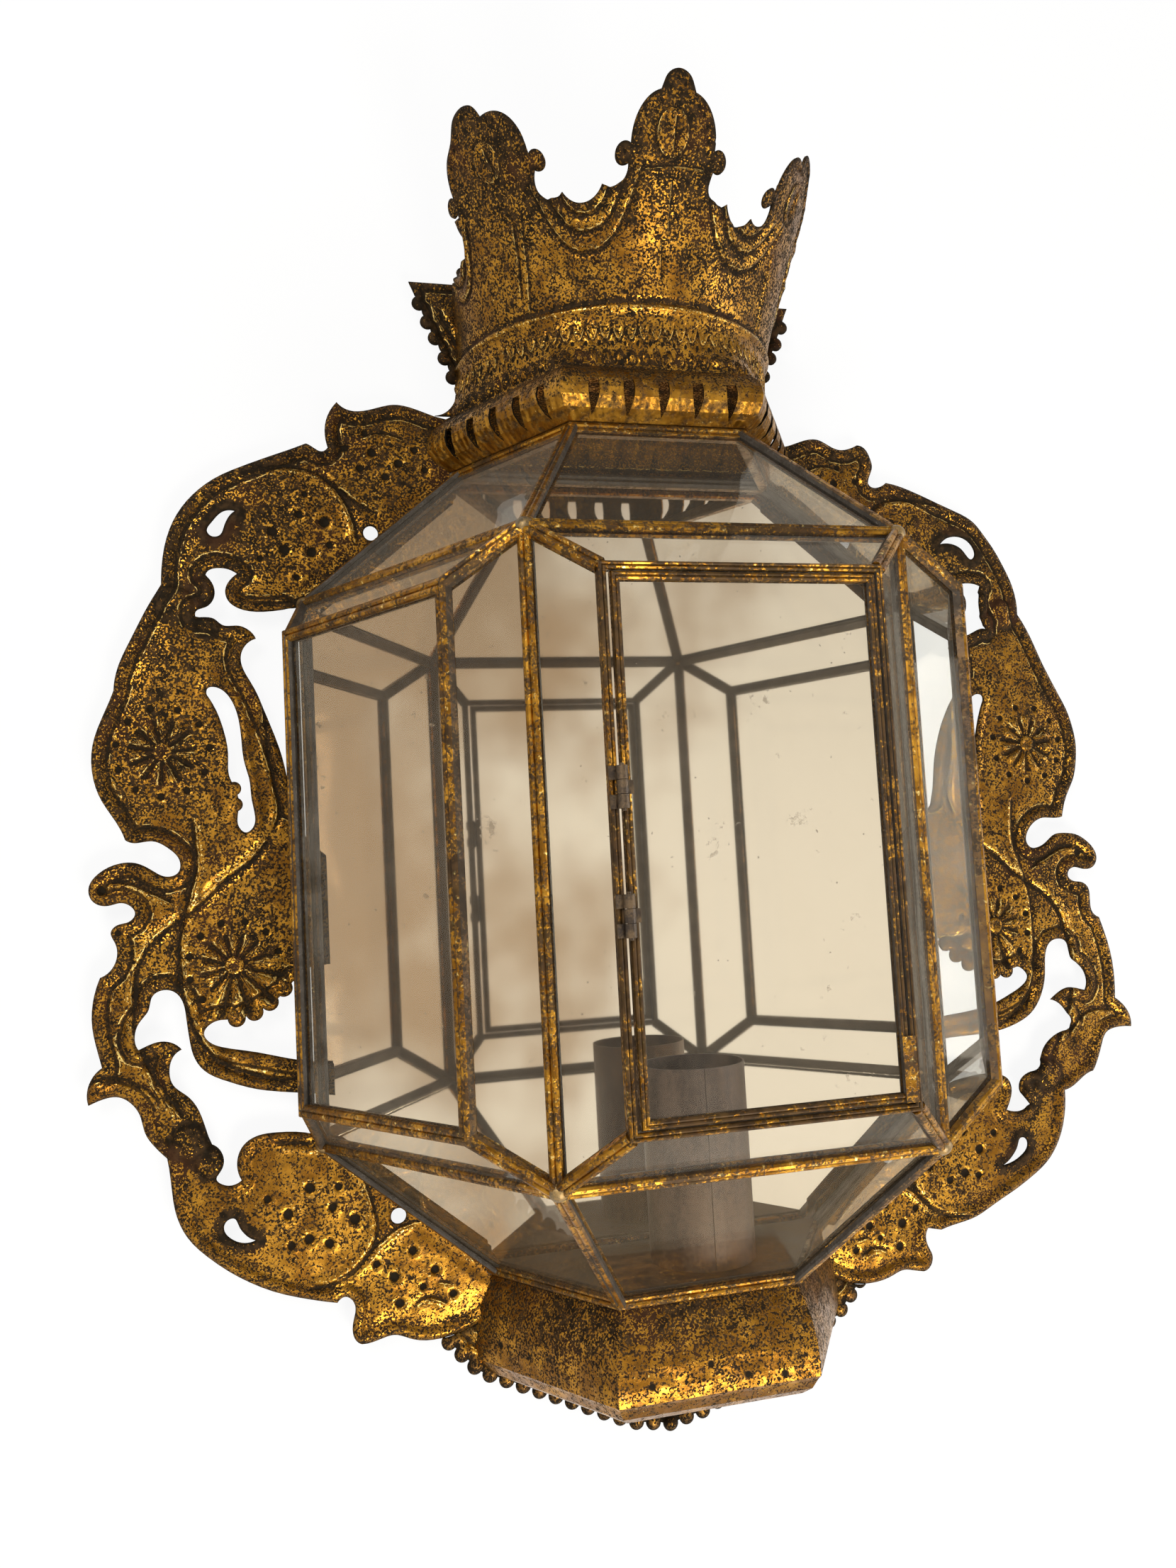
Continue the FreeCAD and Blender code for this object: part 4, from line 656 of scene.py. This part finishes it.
def solid_sheet(name, triangles, front, back, relief, material, body="lantern"):
    """A closed thin sheet from one web at two places, with its relief kept on the points."""
    count = len(front)
    faces = [tuple(int(i) for i in t) for t in triangles]
    faces += [(int(c) + count, int(b) + count, int(a) + count) for a, b, c in triangles]
    faces += [(int(b), int(a), int(a) + count, int(b) + count) for a, b in rim_edges(triangles)]
    mesh = bpy.data.meshes.new(name)
    mesh.from_pydata([tuple(p) for p in np.vstack([front, back]) * MM], [], faces)
    # Raised tone, halved, means both less wear and painted glints
    rubbed_and_glint = np.where(relief.tone > 0, 0.5 * relief.tone, relief.tone)
    for title, values in (("relief", rubbed_and_glint), ("edge", relief.edge), ("across", relief.across),
                          ("drawn", relief.drawn), ("punched", relief.punched)):
        layer = mesh.attributes.new(title, "FLOAT", "POINT")
        layer.data.foreach_set("value", np.concatenate([values, values]).astype(np.float32))
    mesh.materials.append(material)
    mesh.shade_smooth()
    mesh.validate()
    piece = bpy.data.objects.new(name, mesh)
    bpy.context.scene.collection.objects.link(piece)
    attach(piece, body)
    return piece


def turned_out(front, triangles, outward):
    """The triangles with their order turned where they face inwards."""
    a, b, c = (front[triangles[:, i]] for i in range(3))
    normal = np.cross(b - a, c - a)
    middle = (a + b + c) / 3
    wrong = (normal * outward(middle)).sum(1) < 0
    triangles = triangles.copy()
    triangles[wrong] = triangles[wrong][:, ::-1]
    return triangles


# Wings, shield and apron
PLATE_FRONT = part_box("left_wing")[0].y / MM
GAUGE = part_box("left_wing")[1].y / MM - PLATE_FRONT
SHEET_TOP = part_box("top_shield")[1].z / MM
FINE = 1.25
# The left half of the lantern's outline on the wall: ring, eave, base eave, ring
RING_HALF, RING_LEVEL = 81.5, 195.5
LANTERN = [(-RING_HALF, RING_LEVEL), (-160, 129.5), (-160, -129.5), (-RING_HALF, -RING_LEVEL)]
UP_LOBE = [(-188, 188.5), (-180, 191), (-170, 193), (-160, 192.5), (-152, 190), (-145, 184), (-140, 176),
           (-137, 167), (-136, 157)]
# Embossed lines of the left wing: places, ridge, groove, width, side of the groove
STROKES = [
    (UP_LOBE, 1.2, 0.9, 1.6, 1),
    ([(-186, 130), (-176, 130.5), (-166, 131.5), (-157, 135), (-150, 141)], 1.0, 0.5, 1.4, -1),
    ([(-150, 194), (-140, 187), (-131, 180), (-121, 175)], 0.6, 1.0, 1.6, -1),
    ([(-212, 29), (-211, 20), (-210.5, 5), (-214, -10), (-218, -27), (-218.5, -42), (-217, -56),
      (-213, -69), (-207, -79), (-198, -86), (-186, -91), (-172, -95)], 1.0, 1.1, 1.7, -1),
    ([(-181, 18), (-190, 8), (-202, -1), (-215, -13), (-227, -21), (-236, -29), (-242, -40), (-244, -54),
      (-244, -67), (-241, -79), (-236, -91), (-229, -102), (-223, -111)], 0.9, 1.1, 1.7, 1),
    ([(-184, 98), (-183, 84), (-182, 70), (-181.5, 58), (-180, 48), (-177.5, 36), (-177, 28), (-180, 20)],
     0.9, 1.0, 1.3, 1),
    ([(-252, -3), (-244, -3.5), (-238, -6), (-230, -10), (-223, -14)], 1.0, 0.9, 1.3, 1),
    ([(-184, -126.5), (-172, -127.5), (-162, -130.5), (-152, -136.5), (-145, -145), (-141, -156.5),
      (-139.5, -170), (-146.5, -181.5), (-157, -188), (-171, -189)], 1.2, 0.8, 1.5, 1),
    ([(-157, -191), (-147, -187), (-136, -177), (-125, -170), (-115, -168.5)], 1.0, 0.6, 1.4, 1),
    ([(-106, -173), (-98, -182), (-93, -191)], 1.0, 0.6, 1.3, 1),
    ([(-121, -207), (-114, -204), (-106, -208)], 1.0, 0.8, 1.4, 1),
    ([(-111, -197), (-103, -199)], 0.8, 0.8, 1.3, 1),
    ([(-262, -92), (-254, -90.5), (-246, -92), (-238, -97), (-232, -104)], 0.9, 0.9, 1.4, 1),
    ([(-131, 209), (-120, 212), (-108, 209)], 0.6, 0.5, 1.5, 1),
]
# Punched dots: place and radius
DIMPLES = [
    (-174, 163.5, 2.6), (-149, 168.5, 3), (-168.5, 154.5, 2.8), (-155.5, 153.5, 2.8), (-163, 141, 1.8),
    (-161, 172, 2.2), (-180, 150, 1.8), (-147, 157, 2), (-158, 182, 1.8),
    (-167, -146, 2.6), (-177, -157, 2.6), (-147, -162.5, 2.8), (-168, -169, 2.6), (-159, -172, 2.3),
    (-186, -149, 2), (-157, -156, 2.2), (-154, -147, 2), (-176, -171, 2),
    (-121, -180, 2.2), (-130, -191, 2.6), (-128, -203, 2.4), (-111, -190, 2.2), (-103, -202, 2),
    (-138, -184, 2), (-117, -197, 1.8), (-125, 204, 2.4), (-112, 199, 2.4), (-119, 192, 2.2),
    (-131, 196, 2.2), (-104, 206, 2), (-128, 214, 1.8), (-99, 196, 2), (-138, 206, 2),
    (-254, -4.5, 2.4), (-247.5, -24, 1.8),
]
# Round bosses: place, radius and height
BOSSES = [(-219, 128, 8.5, 2.8), (-205.5, 134, 6.8, 2.2), (-205, 117, 5.5, 1.8),
          (-219, -120, 8.5, 2.8), (-210.5, -130, 6.8, 2.2)]
# Rosettes: place, petals, their radius, radius of the ring of dots, turn, shell
ROSETTES = [(-226.3, 58, 11, 15.5, 20.8, 0.2, None), (-197.3, -42, 12, 15, 20.5, 0.0, (-1.0, 25.0))]
# The right wing hangs lower and reaches further than the left one: how far, by height
SHIFT_Z = [-230, -200, -165, -128, -110, -42, 58, 128, 163, 230]
SHIFT_OUT = [0, 2, 3, 5, 9, 3, 3, 2, -1, -2]
SHIFT_UP = [-5, -7, -8, -10, -11, -6, -7, -4, -5, -10]
# Beads down the shield's side, as shares of its half width and of its height above the ring
SHIELD_HALF = 103.0
SHIELD_BEADS = [(0.955, 0.885), (0.918, 0.787), (0.883, 0.705), (0.84, 0.6), (0.805, 0.5)]
# Row of beads along the apron's edge, from its end to its foot: share of the half width, and level
APRON_HALF = 126
APRON_RIM = [(0.84, -223.8), (0.73, -239.0), (0.44, -256.2), (0.15, -273.7), (0, -277.0)]
BEAD_PITCH = 8.3
# Edges this near to the lantern's outline are covered by it
COVER_WIDTH = 8.5
# So are upright edges this near to the middle, at a sheet's root
ROOT_HALF = 86
# Holes in a wing whose height is between these have a dark ring
SMALL_HOLE, LARGE_HOLE = 10, 30


def on_wing(side, places):
    """Places of the left wing, or the same on the right one."""
    p = np.array(places, float)
    if side < 0:
        return p
    return np.stack([-p[:, 0] + np.interp(p[:, 1], SHIFT_Z, SHIFT_OUT),
                     p[:, 1] + np.interp(p[:, 1], SHIFT_Z, SHIFT_UP)], 1)


def flat_sheet(node, name, spacing, emboss):
    """An embossed sheet in place of a flat one of the frame."""
    loops = boundary(node, lambda polygon, mesh: polygon.normal.y < -0.99, lambda co: (co.x, co.z))
    flat, triangles = web(loops, spacing)
    relief = Relief(flat)
    emboss(relief, loops)
    front = np.stack([flat[:, 0], PLATE_FRONT - relief.height, flat[:, 1]], 1)
    back = front + (0, GAUGE, 0)
    back[:, 1] = np.minimum(back[:, 1], PLATE_FRONT + GAUGE)
    triangles = turned_out(front, triangles, lambda middle: np.array([[0, -1, 0]]))
    piece = solid_sheet(name, triangles, front, back, relief, GILT)
    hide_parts(node)


def body_line(side):
    """The lantern's outline on the wall, on one side."""
    return np.array([(side * -x, z) for x, z in LANTERN], float)


def body_gap(points):
    """Distance from the lantern's outline on the wall, which covers the sheets' inner edges."""
    return np.minimum(nearest(points, body_line(-1))[0], nearest(points, body_line(1))[0])


def flatten_under_body(relief):
    """No embossing where the lantern's bars lie on the sheet."""
    relief.height *= soft(body_gap(relief.points), 3.0, 9.0)


def outer_gap(points, loops):
    """Distance to the edges of a sheet, apart from those under the lantern and at its root."""
    gap = np.full(len(points), FAR)
    for loop in loops:
        middles = (loop[:-1] + loop[1:]) / 2
        covered = body_gap(middles) < COVER_WIDTH
        upright = np.abs(loop[:-1, 0] - loop[1:, 0]) < 0.05
        root = (np.abs(middles[:, 0]) < ROOT_HALF) & upright
        for a, b, hidden in zip(loop[:-1], loop[1:], covered | root):
            if not hidden:
                gap = np.minimum(gap, nearest(points, np.array([a, b]))[0])
    return gap


def emboss_wing(side):
    """The embossing of the left wing (side -1) or the right one."""
    def emboss(relief, loops):
        outline, *holes = sorted(loops, key=lambda loop: -np.ptp(loop[:, 1]))
        x, z = relief.points.T
        line = soft(z, -112, -92) * (1 - 0.6 * soft(z, 175, 190))
        relief.border(outer_gap(relief.points, [outline]), 6.4, 1.4, line)
        for hole in holes:
            gap = nearest(relief.points, hole)[0]
            relief.height += 0.8 * hump(gap, 2.0, 1.3)
            relief.edge = np.maximum(relief.edge, 1 - soft(gap, 0.1, 1.4))
            if SMALL_HOLE < np.ptp(hole[:, 1]) < LARGE_HOLE:
                relief.tone -= 1.1 * (1 - soft(gap, 3.0, 6.0))
        for places, ridge, groove, width, hand in STROKES:
            relief.stroke(on_wing(side, places), ridge, groove, width, hand * -side)
        for *place, radius in DIMPLES:
            relief.dimple(*on_wing(side, [place])[0], radius, 1.0)
        for *place, radius, height in BOSSES:
            relief.boss(*on_wing(side, [place])[0], radius, height)
        for *place, petals, radius, dots, turn, shell in ROSETTES:
            if shell and side > 0:
                shell = (math.pi - shell[0], shell[1])
            relief.rosette(*on_wing(side, [place])[0], petals, radius, dots, turn, shell)
        # Painted shade: the sheet behind the lantern's outline is made dark
        covered = body_line(side)
        relief.edge[within(relief.points, [np.vstack([covered, covered[:1]])])] = 1.0
        # Hand-beaten sheet is never quite flat
        relief.height += 0.15 * np.sin(x * 0.21) * np.sin(z * 0.17)
        flatten_under_body(relief)
    return emboss


def emboss_shield(relief, loops):
    """A folded rim and a row of beads down each side."""
    relief.border(outer_gap(relief.points, loops), 4.0, 1.0)
    rise = SHEET_TOP - RING_LEVEL
    beads = [(out * SHIELD_HALF, RING_LEVEL + up * rise) for out, up in SHIELD_BEADS]
    for side in (-1, 1):
        for x, z in beads:
            relief.boss(side * x, z, 4.2, 1.8)
        relief.stroke([(side * (x - 12), z) for x, z in beads], 0.9, 0.8, 1.5, side)
    flatten_under_body(relief)


def emboss_apron(relief, loops):
    """Two raised lines inside a row of beads along the edge."""
    for side in (-1, 1):
        line = np.array([(side * share * APRON_HALF, z) for share, z in APRON_RIM])
        steps = np.hypot(*np.diff(line, axis=0).T)
        run = np.concatenate([[0], np.cumsum(steps)])
        for at in np.linspace(0, run[-1], int(steps.sum() / BEAD_PITCH) + 1):
            relief.boss(np.interp(at, run, line[:, 0]), np.interp(at, run, line[:, 1]), 4.1, 2.0)
        relief.stroke([(x, z + 7.5) for x, z in line], 1.1, 0.8, 1.5, -side, False)
        relief.stroke([(x, z + 15) for x, z in line], 0.7, 0.5, 2.2, -side, False)
    relief.edge = 1 - soft(outer_gap(relief.points, loops), 0.8, 4.6)
    flatten_under_body(relief)


flat_sheet("top_shield", "top_shield_sheet", FINE * 1.15, emboss_shield)
flat_sheet("bottom_apron", "bottom_apron_sheet", FINE * 1.15, emboss_apron)
flat_sheet("left_wing", "left_wing_sheet", FINE, emboss_wing(-1))
flat_sheet("right_wing", "right_wing_sheet", FINE, emboss_wing(1))

# Crown
AXIS_Y = PLATE_FRONT
# Radius in mm at which the crown is unrolled for its embossing
UNROLL = 118.0
# Least cosine between an outer face's normal and the way from the axis, and least corners of its outlines
FACING_AWAY = 0.74
LOOP_CORNERS = 9
CROWN_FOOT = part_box("crown")[0].z / MM
CROWN_HALF_RISE = 60
TURN_TERMS, LEVEL_TERMS = 11, 6
# Levels in mm: where the points begin, the ridge round the foot, and what lies below it
POINTS_START = 296
RIDGE_LEVEL = 247.5
LEAF_TOP, LEAF_FOOT = 240.6, 235.0
SEED_LEVEL, DOT_LEVEL, BALL_LEVEL = 239.8, 232.6, 225.6
FOOT_TURN = 88
FOOT_COUNT = 40
# An oval on each point, and the groove below it: turn, level, lean of its slit, the groove's foot and top
OVALS = [(-0.6, 307.8, 0, 257, 273), (-44.6, 312.1, -1.6, 257, 290), (43.5, 306.5, 1.6, 252, 284)]
OVAL_HALF_WIDTH, OVAL_HALF_HEIGHT = 6.2, 7.6
# Festoons under the valleys and behind the side points: turn, half width in degrees, drop
FESTOONS = [(-20.6, 13.2, 0), (25.6, 16.0, -0.5), (-68.5, 11, 0), (68.5, 11, -3)]
# Lines of one festoon: share of its width, level of its middle, rise to its ends
FESTOON_LINES = [(1.0, 271.5, 27), (0.72, 278.6, 17), (0.45, 284.4, 9)]
# Punched dots along the edge of the points
DOT_STEP, DOT_INSET, DOT_GAP = 4.2, 3.4, 3.6
CLEAR_INSET = 9


def is_outer(polygon, mesh):
    """Whether a face of the crown looks away from its axis."""
    middle = np.array(polygon.center) / MM - (0, AXIS_Y, 0)
    away = middle[:2] / np.hypot(*middle[:2])
    return polygon.normal.x * away[0] + polygon.normal.y * away[1] > FACING_AWAY


def unrolled(co):
    """Flat place in mm of a place on the crown."""
    return math.atan2(co.x, AXIS_Y - co.y) * UNROLL, co.z


def deg(angle):
    """Unrolled distance from the crown's front for a turn in degrees."""
    return math.radians(angle) * UNROLL


def terms(turn, height):
    """Smooth functions that the crown's distance from its axis is made of."""
    t = np.arccos(np.clip(turn / (math.pi / 2), -1, 1))
    h = np.arccos(np.clip((height - CROWN_FOOT) / CROWN_HALF_RISE - 1, -1, 1))
    waves = [np.cos(2 * i * t) * np.cos(j * h) for i in range(TURN_TERMS) for j in range(LEVEL_TERMS)]
    return np.stack(waves, 1)


def fitted_weights():
    """The weights of those functions that give the CAD crown's outside."""
    mesh = NODES["crown"].data
    places = []
    for polygon in mesh.polygons:
        if is_outer(polygon, mesh):
            a, b, c = np.array([mesh.vertices[v].co for v in polygon.vertices])[:3] / MM
            places += [a, b, c, (a + b) / 2, (b + c) / 2, (a + c) / 2]
    x, y, z = np.array(places).T
    turn = np.arctan2(x, AXIS_Y - y)
    return np.linalg.lstsq(terms(turn, z), np.hypot(x, y - AXIS_Y), rcond=None)[0]


def emboss_edge(relief, loops):
    """A thin bead along the crown's edge, apart from its foot, and a groove inside it on the points."""
    gap = np.full(len(relief.points), FAR)
    for loop in loops:
        for a, b in zip(loop[:-1], loop[1:]):
            if max(a[1], b[1]) > CROWN_FOOT + 2:
                gap = np.minimum(gap, nearest(relief.points, np.array([a, b]))[0])
    bead = hump(gap, 1.7, 1.2)
    groove = hump(gap, 4.6, 1.0) * soft(relief.points[:, 1], 283, 300)
    relief.height += 0.6 * bead - 0.3 * groove
    relief.tone -= 0.3 * bead + 0.3 * groove
    relief.edge = np.maximum(relief.edge, 1 - soft(gap, 0.3, 2.4))


def emboss_foot(relief):
    """A ridge round the foot, with a row of leaves and a row of balls below it."""
    z = relief.points[:, 1]
    relief.height += 1.5 * hump(z, RIDGE_LEVEL, 1.3) - 0.7 * hump(z, RIDGE_LEVEL + 2.9, 1.1)
    relief.tone += 0.7 * hump(z, RIDGE_LEVEL, 1.1) - 1.0 * hump(z, RIDGE_LEVEL + 2.8, 1.0)
    half = deg(FOOT_TURN)
    spacing = 2 * half / FOOT_COUNT
    for i in range(FOOT_COUNT + 1):
        at = -half + i * spacing
        leaf = [(at - 0.4 * spacing, LEAF_TOP), (at, LEAF_FOOT), (at + 0.4 * spacing, LEAF_TOP)]
        relief.boss(at, BALL_LEVEL, 3.4, 1.7)
        relief.stroke(leaf, 0.7, 0.7, 0.8, -1, False)
        relief.dimple(at + spacing / 2, DOT_LEVEL, 1.4, 0.6)
        relief.dimple(at + 0.1 * spacing, SEED_LEVEL, 0.9, 0.4)


def emboss_ovals(relief):
    """On each point an oval with a slit, and below it a groove."""
    for turn, level, slit, foot, top in OVALS:
        middle = deg(turn)
        oval = [(middle + OVAL_HALF_WIDTH * math.cos(t) + slit * math.sin(t),
                 level + OVAL_HALF_HEIGHT * math.sin(t)) for t in np.linspace(0, 2 * math.pi, 25)]
        relief.stroke(oval, 0.8, 0.6, 0.9, -1, False)
        lean = 1.2 * slit
        cut = [(middle + lean, level + 6.5), (middle, level), (middle - lean, level - 6.5)]
        relief.stroke(cut, 0.2, 1.8, 0.9, 1)
        lean = 2.0 * np.sign(turn) if slit else 1.2
        half_way = (deg(turn * 0.97), (foot + top) / 2)
        groove = [(deg(turn * 0.96) - lean, top), half_way, (middle + lean, foot)]
        relief.stroke(groove, 0.35, 1.6, 0.9, 1)
        if slit:
            relief.stroke([(x + 4.5, z - 6) for x, z in groove], 0.5, 0.6, 1.1, 1)
    # A fine line below the middle point's oval, and one across the foot of that point
    relief.stroke([(0, 294), (0.3, 284), (1.5, 274)], 0.2, 0.6, 0.6, 1)
    relief.stroke([(deg(-8.7), 294.6), (0, 295.9), (deg(10), 296.6)], 0.4, 0.5, 0.7, 1)


def emboss_festoons(relief):
    """Hanging lines, three to a festoon."""
    for middle, half_width, drop in FESTOONS:
        for scale, level, rise in FESTOON_LINES:
            sweep = [(deg(middle + half_width * scale * share), level + drop + rise * abs(share) ** 2.6)
                     for share in np.linspace(-1, 1, 13)]
            relief.stroke(sweep, 0.7 * (0.6 + 0.4 * scale), 1.1, 1.2, -1)


def emboss_dots(relief, loops):
    """Small punched dots inside the edge of each point, none near another or in a narrow place."""
    for loop in loops:
        rim = resample(loop, DOT_STEP)
        along = np.roll(rim, -1, 0) - np.roll(rim, 1, 0)
        along /= np.maximum(np.hypot(*along.T), 1e-6)[:, None]
        for sign in (-1, 1):
            inwards = sign * np.stack([-along[:, 1], along[:, 0]], 1)
            dots = rim + DOT_INSET * inwards
            roomy = within(dots, loops) & within(rim + CLEAR_INSET * inwards, loops)
            done = []
            for x, z in dots[roomy & (dots[:, 1] > POINTS_START)]:
                if all(math.hypot(x - a, z - b) > DOT_GAP for a, b in done):
                    relief.dimple(x, z, 0.95, 0.6)
                    done.append((x, z))


def add_crown():
    """The embossed crown in place of the frame's, bent round its axis from one flat web."""
    loops = [loop for loop in boundary("crown", is_outer, unrolled) if len(loop) >= LOOP_CORNERS]
    flat, triangles = web(loops, FINE)
    relief = Relief(flat)
    emboss_edge(relief, loops)
    emboss_foot(relief)
    emboss_ovals(relief)
    emboss_festoons(relief)
    emboss_dots(relief, loops)
    turn = flat[:, 0] / UNROLL
    reach = terms(turn, flat[:, 1]) @ fitted_weights()
    away = np.stack([np.sin(turn), -np.cos(turn), np.zeros(len(turn))], 1)
    axis = np.stack([np.zeros(len(turn)), np.full(len(turn), AXIS_Y), flat[:, 1]], 1)
    front = axis + away * (reach + relief.height)[:, None]
    back = axis + away * (reach + relief.height - GAUGE)[:, None]
    for side in (front, back):
        side[:, 1] = np.minimum(side[:, 1], PLATE_FRONT)
    triangles = turned_out(front, triangles, lambda middle: (middle - (0, AXIS_Y, 0)) * (1, 1, 0))
    crown_sheet = solid_sheet("crown_sheet", triangles, front, back, relief, CROWN_GILT)
    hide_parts("crown")


add_crown()

# Kept CAD nodes
SLOT_OF = {part["node"]: part["material_slot"] for part in frame["record"]["subparts"]}
for node, thing in NODES.items():
    thing.data.materials.clear()
    thing.data.materials.append(OWN_LOOKS.get(node, LOOKS[SLOT_OF[node]]))


# Wall, lamps and world
WHITE = (1, 1, 1, 1)
PAINT = (0.82, 0.82, 0.82, 1)
WALL_HALF = 6
WALL_PLACE = 0.0015
AIM = (0, -0.05, 0)


def add_wall():
    """A pale wall behind the back plate, that takes shadows and looks almost white."""
    corners = [(-1, -1), (1, -1), (1, 1), (-1, 1)]
    mesh = bpy.data.meshes.new("wall")
    mesh.from_pydata([(WALL_HALF * x, WALL_PLACE, WALL_HALF * z) for x, z in corners], [], [(0, 1, 2, 3)])
    s = new_shade("wall")
    bright = s.put("Emission", {"Color": WHITE, "Strength": 1.0})[0]
    paint = s.put("BsdfDiffuse", {"Color": PAINT})[0]
    share = s.math("MULTIPLY", s.put("LightPath")["Is Camera Ray"], 0.9)
    mesh.materials.append(s.finish(s.put("MixShader", {0: share, 1: paint, 2: bright})[0]))
    wall = bpy.data.objects.new("wall", mesh)
    bpy.context.scene.collection.objects.link(wall)


def lamp(name, place, aim, energy, size, colour=(1, 1, 1)):
    """A soft square lamp: its power in watts and its side in metres."""
    data = bpy.data.lights.new(name, "AREA")
    data.energy, data.size, data.color = energy, size, colour
    thing = bpy.data.objects.new(name, data)
    thing.location = place
    thing.rotation_euler = (Vector(aim) - Vector(place)).to_track_quat("-Z", "Y").to_euler()
    bpy.context.scene.collection.objects.link(thing)


def add_world():
    """Plain white for the camera, softer for the light on things; reflections darken upwards."""
    s = Shade(bpy.data.worlds.new("world"))
    ray = s.put("LightPath")
    upwards = s.put("SeparateXYZ", {0: s.coordinates["Generated"]})[2]
    room = s.math("MULTIPLY", s.step(upwards, -0.05, 0.75, 1.05, 0.3), ray["Is Glossy Ray"])
    seen_white = s.math("MAXIMUM", ray["Is Camera Ray"], ray["Is Transmission Ray"])
    strength = s.math("MAXIMUM", s.math("MAXIMUM", room, seen_white), 0.42)
    bpy.context.scene.world = s.finish(s.put("Background", {0: WHITE, 1: strength})[0], "OutputWorld")


add_wall()
lamp("key", (-0.9, -1.5, 0.9), AIM, 20, 0.7, (1, 0.97, 0.92))
lamp("fill", (2.5, -1.1, 0.0), AIM, 22, 1.0)
lamp("low", (0.28, -1.0, -0.9), (0, -0.05, -0.1), 16, 0.5, (1, 0.95, 0.86))
add_world()
